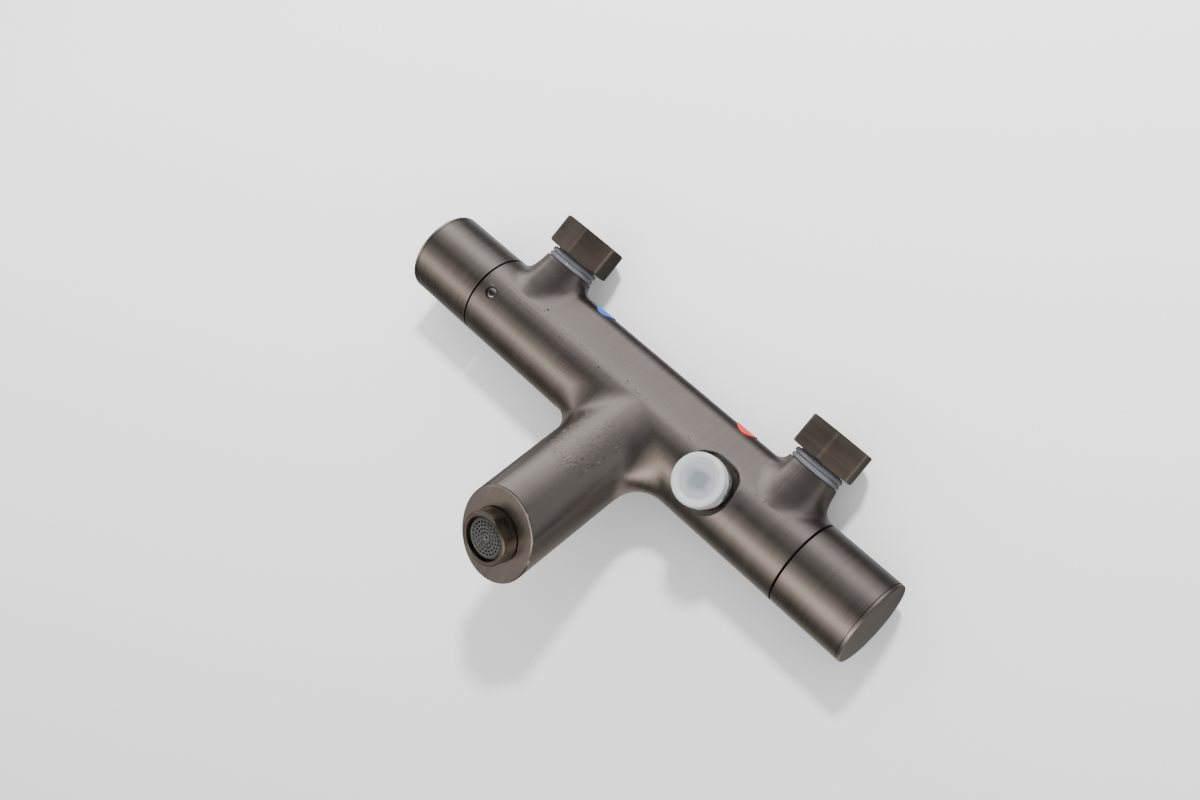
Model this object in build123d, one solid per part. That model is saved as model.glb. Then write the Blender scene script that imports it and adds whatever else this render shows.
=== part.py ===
from build123d import *
import math
import os

# Driving dimensions in mm. The mixer stands as installed: origin on the bar's axis midway
# between the inlets, +X to the cold side, +Y to the wall, +Z up.
inlet_spacing = 150.0
bar_d = 40.0
spout_step = 0.4  # the spout's diameter is this much under the bar's
seam_x = 96.1
seam_gap = 1.0
knob_end_x = 133.4
spout_drop = 30.0
spout_reach = 83.1
face_tilt = 60.0
spout_fillet = 15.0

# Rear web and inlet necks
back_y = 27.0
back_r = 9.5
neck_end_y = 31.3
neck_end_r = 12.3
neck_flare = 0.22
neck_root_y = 8.0
neck_fillet = 5.0
inlet_bore_r = 8.5

# Clearances
running_gap = 0.05
soft_gap = 0.3
face_gap = 0.05
cap_line_gap = 0.25
past = 1.0  # how far a cutter runs past the face it opens

# Waterways in the casting
thermo_bore_r = 15.0
thermo_floor_x = 38.0
flow_bore_r = 16.0
flow_floor_x = 60.0
chamber_r = 9.0
hot_way_r = 3.5
hot_way_y = 21.0
hot_port_x = 52.0
hot_floor_y = 19.5

# Shower outlet
outlet_x = -48.5
pocket_r = 13.25
pocket_z = -15.0
outlet_thread_r = 10.48
outlet_thread_pitch = 1.814
outlet_thread_depth = 1.1
outlet_bore_r = 7.0
outlet_end_z = -28.6
spigot_r = 8.0
spigot_z = -13.2
plenum_z = -10.0
shower_port_z = -11.6
shower_port_r = 1.5
hot_port_depth = 3.0
cold_port_depth = 4.0
cover_r = 11.55
cover_end_z = -30.4
cover_skirt = 4.6
cover_disc_r = 9.2
cover_dish = 0.45
cover_round = 0.8
thread_lead = 0.6

# Aerator
aerator_r = 12.0
aerator_reach = 7.9
aerator_depth = 8.0
aerator_heel = 0.8
aerator_bore_r = 9.9
aerator_flats = 21.8
aerator_gap_r = 12.5
aerator_gap_depth = 1.2
face_bevel = 0.7
face_cut = (80.0, 40.0)
aerator_bevel = 0.5
aerator_lip = 1.2
flat_cut = (6.0, 30.0)

# Set screw of the thermostatic cartridge
screw_x = 88.3
screw_lean = 3.5
screw_r = 2.5
screw_well_r = 3.0
screw_well_depth = 1.7
screw_inset = 0.8
screw_bevel = 0.35
socket_flats = 2.5
screw_socket = 2.0

# Cartridges
cartridge_end_x = 94.0
nose_r = 11.0
nose_end_x = 103.0
spindle_r = 4.0
spindle_end_x = 124.0
o_ring_wire = 0.85
liner_r = 12.0
tube_r = 6.0
tube_wall = 1.0
end_plate = 2.0
ring_port_r = 2.4
ring_ports = 8
bypass_r = 1.0
bypass_z = 7.6
step_wall = 1.0
retainer_proud = 0.2
retainer_slot = (2.4, 3.0)
pilot_r = 1.6
pilot_l = 9.0
spindle_head = (4.5, 7.0)
carrier_head = (5.0, 11.5)

# Knobs
knob_wall_r = 16.5
knob_web_x = 126.0
knob_hub_r = 8.0
knob_hub_x = 108.0
end_disc = 1.55
end_chamfer = 0.6
plug_r = 6.5
plug_depth = 3.2
spindle_play = 0.3
land_w = 4.0
screw_hole_r = 1.8
screw_seat = 2.2
knob_screw_r = 1.55
knob_screw_l = 7.0
screw_head_r = 3.2
screw_head_h = 1.9
head_socket = 1.0
button_x = 113.0
button_l = 10.0
button_w = 7.0
button_clear = 0.1
button_inset = 0.05
button_flange = 1.2
button_seat_t = 2.0
button_seat_margin = 1.5
button_seat_rise = 1.0
button_h = 5.4

# Union nuts and inlet tubes
nut_y0 = 36.7
nut_y1 = 51.0
nut_flats = 27.6
nut_corner_r = 2.4
nut_thread_r = 10.48
nut_shoulder = 3.8
nut_corners = (38.0, 37.0)
nut_relief_r = 11.0
nut_mouth = 0.8
tube_bore_r = 6.5
flange_r = 10.0
flange_t = 2.5
screen_t = 2.0
rib_r = 12.0
rib_t = 2.35

# Badges
badge_r = 5.4
badge_t = 0.3
badge_x = (45.9, -41.3)

# Fits inside the cartridges and small pieces
liner_end_x = 91.0
groove_half = 2.7
groove_depth = 1.5
thermo_ring_x = (43.0, 62.0, 83.0)
flow_ring_x = (65.0, 82.0)
retainer_x = 90.0
thermo_head_x = 86.0
spline_l = 14.0
spindle_flat = 2.8
wax_x0 = 55.0
wax_x1 = 83.0
wax_cup_r = 4.5
wax_collar = (6.0, 3.0)
wax_pin_r = 2.0
shuttle_x0 = 57.5
shuttle_x1 = 69.5
shuttle_land = 3.0
shuttle_waist_r = 9.5
shuttle_hole_r = 1.3
shuttle_hole_reach = 7.0
shuttle_holes = 6
spring_play = 0.75
return_coil = (9.0, 0.7, 4)
button_coil = (2.6, 0.35, 4)
stop_wall = 2.4
stop_x0 = 98.0
stop_x1 = 101.5
stop_lug = (3.0, 4.0)
disc_port_r = 2.2
disc_port_reach = 7.2
nut_chamfer = (0.9, 1.6)
tube_y0 = 20.0
valve_y0 = 24.0
valve_y1 = 36.0
tube_way_r = 4.8
cage_way_r = 4.6
cage_mouth_r = 3.0
cage_lip = 2.0
poppet_r = 3.8
poppet_t = 1.6
stem_r = 0.9
bridge = (9.6, 1.6, 1.8)
bridge_y = 4.0
screen_margin = 0.1
screen_skin = 0.6
mesh_hole = 1.5
mesh_pitch = 2.1
rib_relief = 0.9
rib_round = 0.8
rib_gap = 0.15
ring_collar = 1.1
outlet_valve_z = -24.0
outlet_cage_l = 7.5
outlet_cage_way_r = 5.2
outlet_cage_mouth_r = 3.4
outlet_poppet_r = 4.2
outlet_poppet_t = 1.5
outlet_bridge = (10.8, 1.8, 1.4)
outlet_bridge_z = 3.4
washer_t = 2.0
washer_bore_r = 8.5
washer_margin = 0.1
flat_l = 5.4
flats_turn = 62.0
insert_h0 = 1.0
insert_inset = 1.5
insert_rim = 1.1
insert_step = 2.2
insert_plate = 1.6
insert_way_r = 8.0
insert_row_r = (2.6, 4.15, 5.7, 7.25)
insert_row_count = (9, 14, 19, 24)
window = 1.0
disc_x = (62.15, 65.6, 69.0)

bar_r = bar_d / 2
button_seat_z = knob_hub_r + button_seat_rise
button_z0 = bar_r - button_h
spout_r = (bar_d - spout_step) / 2
body_end_x = seam_x - seam_gap / 2
knob_start_x = seam_x + seam_gap / 2
inlet_x = inlet_spacing / 2
flange_y1 = nut_y0 + nut_shoulder + running_gap + flange_t
screen_y0 = flange_y1 + running_gap
knob_disc_x = knob_end_x - end_disc - cap_line_gap
drop = math.radians(spout_drop)
tilt = math.radians(face_tilt)
spout_dir = Vector(0, -math.cos(drop), -math.sin(drop))
face_normal = Vector(0, -math.cos(tilt), -math.sin(tilt))
spout_plane = Plane(origin=(0, 0, 0), x_dir=(1, 0, 0), z_dir=spout_dir)
face_plane = Plane(origin=spout_dir * spout_reach, x_dir=(1, 0, 0), z_dir=face_normal)
aerator_plane = Plane(face_plane.from_local_coords((0, -aerator_heel, 0)), (1, 0, 0), face_normal)


def cyl_x(r, x0, x1, y=0.0, z=0.0):
    """Cylinder along X between x0 and x1."""
    plane = Plane(origin=(min(x0, x1), y, z), x_dir=(0, 1, 0), z_dir=(1, 0, 0))
    return plane * Cylinder(r, abs(x1 - x0), align=(Align.CENTER, Align.CENTER, Align.MIN))


def cyl_y(r, y0, y1, x=0.0, z=0.0):
    """Cylinder along Y between y0 and y1."""
    plane = Plane(origin=(x, min(y0, y1), z), x_dir=(1, 0, 0), z_dir=(0, 1, 0))
    return plane * Cylinder(r, abs(y1 - y0), align=(Align.CENTER, Align.CENTER, Align.MIN))


def cyl_z(r, z0, z1, x=0.0, y=0.0):
    """Cylinder along Z between z0 and z1."""
    plane = Plane(origin=(x, y, min(z0, z1)), x_dir=(1, 0, 0), z_dir=(0, 0, 1))
    return plane * Cylinder(r, abs(z1 - z0), align=(Align.CENTER, Align.CENTER, Align.MIN))


def cyl_on(plane, r, h0, h1):
    """Cylinder along a plane's normal between heights h0 and h1."""
    post = Cylinder(r, abs(h1 - h0), align=(Align.CENTER, Align.CENTER, Align.MIN))
    return plane * Pos(0, 0, min(h0, h1)) * post


def web_profile():
    """Section of the bar with its rear web: two circles and their common tangents."""
    reach = back_y - back_r
    lean = math.asin((bar_r - back_r) / reach)
    y0, z0 = bar_r * math.sin(lean), bar_r * math.cos(lean)
    y1, z1 = reach + back_r * math.sin(lean), back_r * math.cos(lean)
    outline = Wire([
        ThreePointArc((y0, z0), (-bar_r, 0), (y0, -z0)),
        Line((y0, -z0), (y1, -z1)),
        ThreePointArc((y1, -z1), (back_y, 0), (y1, z1)),
        Line((y1, z1), (y0, z0)),
    ])
    return make_face(outline)


def web(extra=0.0):
    """Middle stretch of the body between the inlet axes, grown outwards by extra."""
    plane = Plane(origin=(-inlet_x, 0, 0), x_dir=(0, 1, 0), z_dir=(1, 0, 0))
    section = web_profile()
    if extra:
        section = offset(section, extra)
    return extrude(plane * section, inlet_spacing)


def neck(side):
    """Tapered inlet neck on one side."""
    length = neck_end_y - neck_root_y
    root_r = neck_end_r + neck_flare * length
    plane = Plane(origin=(side * inlet_x, neck_root_y, 0), x_dir=(1, 0, 0), z_dir=(0, 1, 0))
    return plane * Cone(root_r, neck_end_r, length, align=(Align.CENTER, Align.CENTER, Align.MIN))


def casting_skin():
    """Outside of the casting: bar, spout, rear web and necks, blended by large fillets."""
    skin = cyl_x(bar_r, -body_end_x, body_end_x)
    skin += cyl_on(spout_plane, spout_r, 0, spout_reach + spout_r)
    joint = [e for e in skin.edges() if e.geom_type not in (GeomType.LINE, GeomType.CIRCLE)]
    skin = skin.fillet(spout_fillet, joint)
    skin = skin + web() + neck(1) + neck(-1)
    roots = []
    for face in skin.faces().filter_by(GeomType.CONE):
        for edge in face.edges():
            at_mouth = abs(edge.center().Y - neck_end_y) < 0.01
            if edge.geom_type != GeomType.LINE and not at_mouth:
                roots.append(edge)
    skin = skin.fillet(neck_fillet, roots)
    cut = Box(face_cut[0], face_cut[0], face_cut[1], align=(Align.CENTER, Align.CENTER, Align.MIN))
    skin -= face_plane * cut
    return skin


def waterways():
    """Bores and cast channels inside the body."""
    ways = cyl_x(thermo_bore_r, thermo_floor_x, body_end_x + past)
    ways += cyl_x(flow_bore_r, -flow_floor_x, -body_end_x - past)
    ways += cyl_x(chamber_r, -flow_floor_x - past, thermo_floor_x + past)
    ways += cyl_x(hot_way_r, -inlet_x, hot_port_x, y=hot_way_y)
    ways += cyl_y(hot_way_r, thermo_bore_r - hot_port_depth, hot_way_y, x=hot_port_x)
    ways += cyl_y(inlet_bore_r, hot_floor_y, neck_end_y + past, x=-inlet_x)
    ways += cyl_y(inlet_bore_r, thermo_bore_r - cold_port_depth, neck_end_y + past, x=inlet_x)
    ways += cyl_on(spout_plane, chamber_r, 0, spout_reach)
    ways += cyl_on(aerator_plane, aerator_r + running_gap, -aerator_depth - washer_t, past)
    ways += cyl_on(aerator_plane, aerator_gap_r, -aerator_gap_depth, past)
    return ways


def outlet_recess():
    """Pocket of the shower outlet with its seat, plenum and port."""
    cut = cyl_z(pocket_r, pocket_z, -bar_r - past, x=outlet_x)
    cut += cyl_z(spigot_r + running_gap, pocket_z - past, spigot_z, x=outlet_x)
    cut += cyl_z(outlet_bore_r, spigot_z - past, plenum_z, x=outlet_x)
    cut += cyl_x(shower_port_r, -flow_floor_x - past, outlet_x, z=shower_port_z)
    return cut


def screw_plane():
    """Plane at the bar's skin whose normal is the set screw's axis."""
    lean = math.radians(screw_lean)
    out = Vector(0, math.sin(lean), -math.cos(lean))
    return Plane(origin=Vector(screw_x, 0, 0) + out * bar_r, x_dir=(1, 0, 0), z_dir=out)


def mixer_body():
    """The casting: skin, waterways, outlet pocket and set screw hole."""
    body = casting_skin()
    face_rim = body.faces().sort_by(Axis(face_plane.origin, face_normal))[-1].edges()
    body = body.chamfer(face_bevel, None, face_rim)
    body = body - waterways() - outlet_recess()
    plane = screw_plane()
    body -= cyl_on(plane, screw_r + running_gap, -bar_r + thermo_bore_r - past, past)
    body -= cyl_on(plane, screw_well_r, -screw_well_depth, past)
    return body


def hex_post(flats, height):
    """Hexagonal post for the sockets of the screws."""
    return extrude(RegularPolygon(flats / 2, 6, major_radius=False), height)


def set_screw():
    """Hexagon-socket screw whose tip holds the thermostatic cartridge by its groove."""
    plane = screw_plane()
    tip = bar_r - thermo_bore_r + groove_depth - soft_gap
    screw = cyl_on(plane, screw_r, -tip, -screw_inset)
    top = screw.faces().sort_by(Axis(plane.origin, plane.z_dir))[-1]
    screw = screw.chamfer(screw_bevel, None, top.edges())
    socket = hex_post(socket_flats, screw_socket + past)
    return screw - plane * Pos(0, 0, -screw_inset - screw_socket) * socket


def o_ring_x(r_out, x):
    """O-ring about the bar's axis."""
    plane = Plane(origin=(x, 0, 0), x_dir=(0, 1, 0), z_dir=(1, 0, 0))
    return plane * Torus(r_out - o_ring_wire, o_ring_wire)


def o_ring_groove_x(r_out, x):
    """Groove that an O-ring about the bar's axis lies in."""
    depth = 2 * o_ring_wire + running_gap
    width = o_ring_wire + running_gap
    return cyl_x(r_out + past, x - width, x + width) - cyl_x(r_out - depth, x - width, x + width)


def radial_holes(r, reach, x, count):
    """Ring of round holes about the bar's axis."""
    holes = None
    for i in range(count):
        post = Rot(i * 360 / count, 0, 0) * cyl_z(r, 0, reach, x=x)
        holes = post if holes is None else holes + post
    return holes


def cartridge_housing(side, bore_r, floor_x):
    """Closed sleeve with end plate and nose, shared by both cartridges."""
    outer = bore_r - running_gap
    inner_x = floor_x + running_gap
    shell = cyl_x(outer, side * inner_x, side * cartridge_end_x)
    shell += cyl_x(nose_r, side * cartridge_end_x, side * nose_end_x)
    shell -= cyl_x(liner_r, side * (inner_x + end_plate), side * liner_end_x)
    shell -= cyl_x(spindle_r + running_gap, side * liner_end_x, side * (nose_end_x + past))
    shell -= cyl_x(tube_r + running_gap, side * (inner_x - past), side * (inner_x + end_plate + past))
    return shell


def thermo_housing():
    """Housing of the thermostatic cartridge with hot and cold ports and O-ring grooves."""
    shell = cartridge_housing(1, thermo_bore_r, thermo_floor_x)
    for x in thermo_ring_x:
        shell -= o_ring_groove_x(thermo_bore_r - running_gap, x)
    shell -= radial_holes(ring_port_r, thermo_bore_r + past, hot_port_x, ring_ports)
    shell -= radial_holes(ring_port_r, thermo_bore_r + past, inlet_x, ring_ports)
    groove = cyl_x(thermo_bore_r + past, screw_x - groove_half, screw_x + groove_half)
    groove -= cyl_x(thermo_bore_r - groove_depth, screw_x - groove_half, screw_x + groove_half)
    return shell - groove


def flow_housing():
    """Housing of the flow and diverter cartridge with spout and shower ports."""
    shell = cartridge_housing(-1, flow_bore_r, flow_floor_x)
    plate = (-flow_floor_x + past, -flow_floor_x - end_plate - past)
    shell -= cyl_x(shower_port_r, plate[0], plate[1], z=shower_port_z + shower_port_r)
    shell -= cyl_x(bypass_r, plate[0], plate[1], z=bypass_z)
    ledge = cyl_x(flow_bore_r + past, -retainer_x, -cartridge_end_x - past)
    ledge -= cyl_x(liner_r + step_wall, -retainer_x, -cartridge_end_x)
    ledge -= cyl_x(nose_r, -cartridge_end_x, -cartridge_end_x - 2 * past)
    shell -= ledge
    for x in flow_ring_x:
        shell -= o_ring_groove_x(flow_bore_r - running_gap, -x)
    return shell


def flow_retainer():
    """Threaded ring that keeps the flow cartridge in its bore."""
    end_x = -body_end_x + retainer_proud
    ring = cyl_x(flow_bore_r - running_gap, -retainer_x, end_x)
    ring -= cyl_x(liner_r + step_wall + running_gap, -retainer_x + past, end_x - past)
    for turn in (0, 90):
        slot = Box(retainer_slot[0], 2 * (flow_bore_r + past), retainer_slot[1])
        ring -= Pos(end_x, 0, 0) * Rot(turn, 0, 0) * slot
    return ring


def spindle(side, head_x, head_l, head_r):
    """Flatted shaft of a cartridge with its head inside the housing."""
    shaft = cyl_x(spindle_r, side * (head_x + head_l), side * spindle_end_x)
    shaft += cyl_x(head_r, side * head_x, side * (head_x + head_l))
    shaft -= cyl_x(pilot_r, side * (spindle_end_x - pilot_l), side * (spindle_end_x + past))
    flat = Box(spline_l, land_w, 2 * spindle_r, align=(Align.CENTER, Align.MIN, Align.CENTER))
    shaft -= Pos(side * (spindle_end_x - spline_l / 2), spindle_flat, 0) * flat
    return shaft


def wax_element():
    """Expansion element: cup, collar and the pin that bears on the spindle."""
    cup = cyl_x(wax_cup_r, wax_x0, wax_x1)
    cup += cyl_x(wax_collar[0], shuttle_x1, shuttle_x1 + wax_collar[1])
    cup += cyl_x(wax_pin_r, wax_x1, thermo_head_x - soft_gap)
    return cup


def shuttle():
    """Spool that opens the hot and closes the cold port as it slides."""
    spool = cyl_x(liner_r - running_gap, shuttle_x0, shuttle_x1)
    spool -= cyl_x(wax_cup_r, shuttle_x0 - past, shuttle_x1 + past)
    waist = (shuttle_x0 + shuttle_land, shuttle_x1 - shuttle_land)
    spool -= cyl_x(liner_r, *waist) - cyl_x(shuttle_waist_r, *waist)
    hole = cyl_x(shuttle_hole_r, shuttle_x0 - past, shuttle_x1 + past, z=shuttle_hole_reach)
    for i in range(shuttle_holes):
        spool -= Rot(i * 360 / shuttle_holes, 0, 0) * hole
    return spool


def coil(sizes, length):
    """Helical spring of (radius, wire radius, turns) standing on the XY plane."""
    radius, wire_r, turns = sizes
    path = Helix(pitch=(length - 2 * wire_r) / turns, height=length - 2 * wire_r, radius=radius)
    section = Plane(origin=path @ 0, z_dir=path % 0) * Circle(wire_r)
    return Pos(0, 0, wire_r) * sweep(section, path=path)


def return_spring():
    """Spring that pushes the shuttle against the wax element."""
    start = thermo_floor_x + end_plate + 2 * running_gap
    length = shuttle_x0 - spring_play - start
    plane = Plane(origin=(start, 0, 0), x_dir=(0, 1, 0), z_dir=(1, 0, 0))
    return plane * coil(return_coil, length)


def stop_ring():
    """Fixed ring on the housing's nose whose lug stops the temperature knob."""
    lug = Pos((stop_x0 + stop_x1) / 2, 0, -nose_r - stop_wall) * Box(stop_x1 - stop_x0, *stop_lug)
    ring = cyl_x(nose_r + stop_wall, stop_x0, stop_x1) + lug
    return ring - cyl_x(nose_r + running_gap, stop_x0 - past, stop_x1 + past)


def ceramic_disc(x0, x1, ports):
    """Round disc with kidney ports, for the flow cartridge."""
    disc = cyl_x(liner_r - running_gap, -x0, -x1)
    for turn in ports:
        disc -= Rot(turn, 0, 0) * cyl_x(disc_port_r, -x0 + past, -x1 - past, z=disc_port_reach)
    return disc


def knob(side):
    """Hollow knob: outer wall, web and hub, with the spindle's bore and screw seat."""
    shell = cyl_x(bar_r, side * knob_start_x, side * knob_disc_x)
    shell -= cyl_x(knob_wall_r, side * (knob_start_x - past), side * knob_web_x)
    shell += cyl_x(knob_hub_r, side * knob_hub_x, side * knob_web_x)
    bore_end = spindle_end_x + spindle_play
    bore = cyl_x(spindle_r + running_gap, side * (knob_hub_x - past), side * bore_end)
    land_l = spline_l + 2 * spindle_play
    land = Box(land_l, land_w, 2 * (spindle_r + past), align=(Align.CENTER, Align.MIN, Align.CENTER))
    bore -= Pos(side * (bore_end - spline_l / 2), spindle_flat + running_gap, 0) * land
    shell -= bore
    shell -= cyl_x(screw_hole_r, side * spindle_end_x, side * (knob_disc_x + past))
    seat = knob_disc_x - plug_depth - screw_seat
    return shell - cyl_x(plug_r + running_gap, side * seat, side * (knob_disc_x + past))


def knob_screw(side):
    """Screw under the end cap that holds the knob on its spindle."""
    seat = knob_disc_x - plug_depth - screw_seat
    top = seat + screw_head_h
    screw = cyl_x(knob_screw_r, side * (spindle_end_x - knob_screw_l), side * (seat + face_gap))
    screw += cyl_x(screw_head_r, side * (seat + face_gap), side * top)
    plane = Plane(origin=(side * (top - head_socket), 0, 0), x_dir=(0, 1, 0), z_dir=(side, 0, 0))
    return screw - plane * hex_post(socket_flats, head_socket + past)


def knob_cap(side):
    """Disc that closes a knob's end, held by its plug."""
    start = knob_disc_x + cap_line_gap
    disc = cyl_x(bar_r, side * start, side * knob_end_x)
    rim = disc.edges().filter_by(GeomType.CIRCLE).sort_by(Axis.X)[-1 if side > 0 else 0]
    disc = disc.chamfer(end_chamfer, None, [rim])
    return disc + cyl_x(plug_r, side * (knob_disc_x - plug_depth), side * start)


def stadium_post(length, width, z0, z1):
    """Upright post of rounded-slot section at the safety button's place."""
    section = SlotOverall(length, width)
    return Pos(button_x, 0, z0) * extrude(section, z1 - z0)


def temperature_knob():
    """Knob on the cold side with the opening for its safety button and the button's seat."""
    shell = knob(1)
    clear = 2 * running_gap + button_clear
    opening = stadium_post(button_l + clear, button_w + clear, knob_hub_r + past, bar_r + past)
    sides = (button_l + 2 * button_seat_margin, button_w + 2 * button_seat_margin)
    seat = Box(*sides, button_seat_t, align=(Align.CENTER, Align.CENTER, Align.MAX))
    return shell - opening + Pos(button_x, 0, button_seat_z) * seat


def safety_button():
    """Sprung button that is pressed to pass the comfort temperature."""
    post = stadium_post(button_l, button_w, button_z0, bar_r + past)
    post &= cyl_x(bar_r - button_inset, knob_start_x, knob_web_x)
    grow = 2 * button_flange
    top = button_z0 + button_flange
    return post + stadium_post(button_l + grow, button_w + grow, button_z0, top)


def button_spring():
    """Spring under the safety button."""
    length = button_z0 - 2 * running_gap - button_seat_z
    return Pos(button_x, 0, button_seat_z + running_gap) * coil(button_coil, length)


def mixing_tube():
    """Tube that takes mixed water through the spout chamber to the flow cartridge."""
    tube = cyl_x(tube_r, -flow_floor_x - end_plate, thermo_floor_x + end_plate)
    way = (-flow_floor_x - end_plate - past, thermo_floor_x + end_plate + past)
    return tube - cyl_x(tube_r - tube_wall, *way)


def union_nut(side):
    """Hexagonal union nut with rounded ridges, chamfered ends and its inner shoulder."""
    x = side * inlet_x
    corner_turn = nut_corners[0] if side > 0 else nut_corners[1]
    plane = Plane(origin=(x, nut_y0, 0), x_dir=(1, 0, 0), z_dir=(0, 1, 0))
    height = nut_y1 - nut_y0
    hexagon = RegularPolygon(nut_flats / 2, 6, major_radius=False, rotation=corner_turn)
    nut = extrude(fillet(hexagon.vertices(), nut_corner_r), height)
    corner = nut_flats / 2 / math.cos(math.radians(30))
    drum = Cylinder(corner, height, align=(Align.CENTER, Align.CENTER, Align.MIN))
    drum = chamfer(drum.edges().filter_by(GeomType.CIRCLE), nut_chamfer[0], nut_chamfer[1])
    nut = plane * (nut & drum)
    nut -= cyl_y(nut_thread_r, nut_y0 + nut_shoulder, nut_y1 + past, x=x)
    nut -= cyl_y(nut_relief_r, nut_y0 + nut_shoulder, screen_y0 + screen_t, x=x)
    nut -= cyl_y(inlet_bore_r + 2 * running_gap, nut_y0 - past, nut_y1, x=x)
    mouth_r = nut_thread_r + nut_mouth
    mouth = Cone(nut_thread_r, mouth_r, nut_mouth, align=(Align.CENTER, Align.CENTER, Align.MAX))
    return nut - plane * Pos(0, 0, height) * mouth


def inlet_tube(side):
    """Tube screwed into a neck, with the flange that the union nut draws on."""
    x = side * inlet_x
    tube = cyl_y(inlet_bore_r - running_gap, tube_y0, flange_y1, x=x)
    tube += cyl_y(flange_r, flange_y1 - flange_t, flange_y1, x=x)
    tube -= cyl_y(tube_bore_r, valve_y0, flange_y1 + past, x=x)
    return tube - cyl_y(tube_way_r, tube_y0 - past, flange_y1, x=x)


def screen(side):
    """Sealing washer with its filter screen, in front of the tube's flange."""
    x = side * inlet_x
    washer = cyl_y(flange_r - screen_margin, screen_y0, screen_y0 + screen_t, x=x)
    washer -= cyl_y(tube_bore_r, screen_y0 + screen_skin, screen_y0 + screen_t + past, x=x)
    hole = Box(mesh_hole, 2 * (screen_skin + past), mesh_hole)
    for i in range(-2, 3):
        for j in range(-2, 3):
            if i * i + j * j < 6:
                washer -= Pos(x + i * mesh_pitch, screen_y0, j * mesh_pitch) * hole
    return washer


def check_valve(side):
    """Non-return valve in an inlet tube: cage with its poppet."""
    x = side * inlet_x
    cage = cyl_y(tube_bore_r - running_gap, valve_y0 + running_gap, valve_y1, x=x)
    seat_y = valve_y1 - cage_lip
    cage -= cyl_y(cage_way_r, valve_y0 - past, seat_y, x=x)
    cage -= cyl_y(cage_mouth_r, valve_y0, valve_y1 + past, x=x)
    poppet = cyl_y(poppet_r, seat_y - poppet_t, seat_y, x=x)
    poppet += cyl_y(stem_r, valve_y0 + bridge_y, seat_y, x=x)
    return cage + (poppet + Pos(x, valve_y0 + bridge_y, 0) * Box(*bridge))


def seal_ring(side):
    """Two-ribbed sleeve between neck and union nut."""
    x = side * inlet_x
    y = neck_end_y + 2 * running_gap
    bore = inlet_bore_r + running_gap
    core = rib_r - rib_relief
    ring = cyl_y(core, y, y + 2 * rib_t, x=x)
    for k in range(2):
        rib = cyl_y(rib_r, y + k * rib_t + rib_gap, y + (k + 1) * rib_t - rib_gap, x=x)
        ring += fillet(rib.edges().filter_by(GeomType.CIRCLE), rib_round)
    ring += cyl_y(core - ring_collar, y + 2 * rib_t, nut_y0 - 2 * running_gap, x=x)
    return ring - cyl_y(bore, y - past, nut_y0 + past, x=x)


def outlet_nipple():
    """Threaded shower outlet in its pocket, with the spigot that seats it."""
    end = outlet_end_z
    steps = int((pocket_z - end) / outlet_thread_pitch)
    crest, root = outlet_thread_r, outlet_thread_r - outlet_thread_depth
    start = pocket_z - running_gap
    points = [(outlet_bore_r, start), (crest, start)]
    z = start - thread_lead
    points.append((crest, z))
    for k in range(steps - 1):
        points.append((root, z - outlet_thread_pitch / 2))
        points.append((crest, z - outlet_thread_pitch))
        z -= outlet_thread_pitch
    points += [(root, z - outlet_thread_pitch / 2), (root, end), (outlet_bore_r, end)]
    outline = Polyline([(r, 0, h) for r, h in points], close=True)
    nipple = Pos(outlet_x, 0, 0) * revolve(make_face(outline), Axis.Z)
    spigot = cyl_z(spigot_r, start, spigot_z - running_gap, x=outlet_x)
    return nipple + (spigot - cyl_z(outlet_bore_r, start - past, spigot_z + past, x=outlet_x))


def outlet_valve():
    """Non-return valve inside the shower outlet."""
    base = outlet_valve_z
    seat_z = base + outlet_cage_l - cage_lip
    cage = cyl_z(outlet_bore_r - running_gap, base, base + outlet_cage_l, x=outlet_x)
    cage -= cyl_z(outlet_cage_way_r, base - past, seat_z, x=outlet_x)
    cage -= cyl_z(outlet_cage_mouth_r, base, base + outlet_cage_l + past, x=outlet_x)
    poppet = cyl_z(outlet_poppet_r, seat_z - outlet_poppet_t, seat_z, x=outlet_x)
    return cage + (poppet + Pos(outlet_x, 0, base + outlet_bridge_z) * Box(*outlet_bridge))


def outlet_cover():
    """Protective cap pushed over the shower outlet's thread."""
    cap = cyl_z(cover_r, cover_end_z, cover_end_z + cover_skirt, x=outlet_x)
    end = cap.edges().filter_by(GeomType.CIRCLE).sort_by(Axis.Z)[0]
    cap = fillet([end], cover_round)
    inside = outlet_thread_r + running_gap
    cap -= cyl_z(inside, outlet_end_z - soft_gap, 0, x=outlet_x)
    cap -= cyl_z(cover_disc_r, cover_end_z - past, cover_end_z + cover_dish, x=outlet_x)
    return cap


def aerator_housing():
    """Outer ring of the aerator with its wrench flats."""
    ring = cyl_on(aerator_plane, aerator_r, -aerator_depth, aerator_reach)
    end = ring.faces().sort_by(Axis(aerator_plane.origin, face_normal))[-1]
    ring = ring.chamfer(aerator_bevel, None, end.edges())
    for s in (1, -1):
        edge = Align.MIN if s > 0 else Align.MAX
        cut = Box(*flat_cut, flat_l + past, align=(edge, Align.CENTER, Align.MIN))
        turned = aerator_plane * Rot(0, 0, flats_turn)
        ring -= turned * Pos(s * aerator_flats / 2, 0, aerator_reach - flat_l) * cut
    ring -= cyl_on(aerator_plane, aerator_bore_r, insert_h0, aerator_reach + past)
    way_r = aerator_bore_r - aerator_lip
    return ring - cyl_on(aerator_plane, way_r, -aerator_depth - past, aerator_reach)


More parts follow.
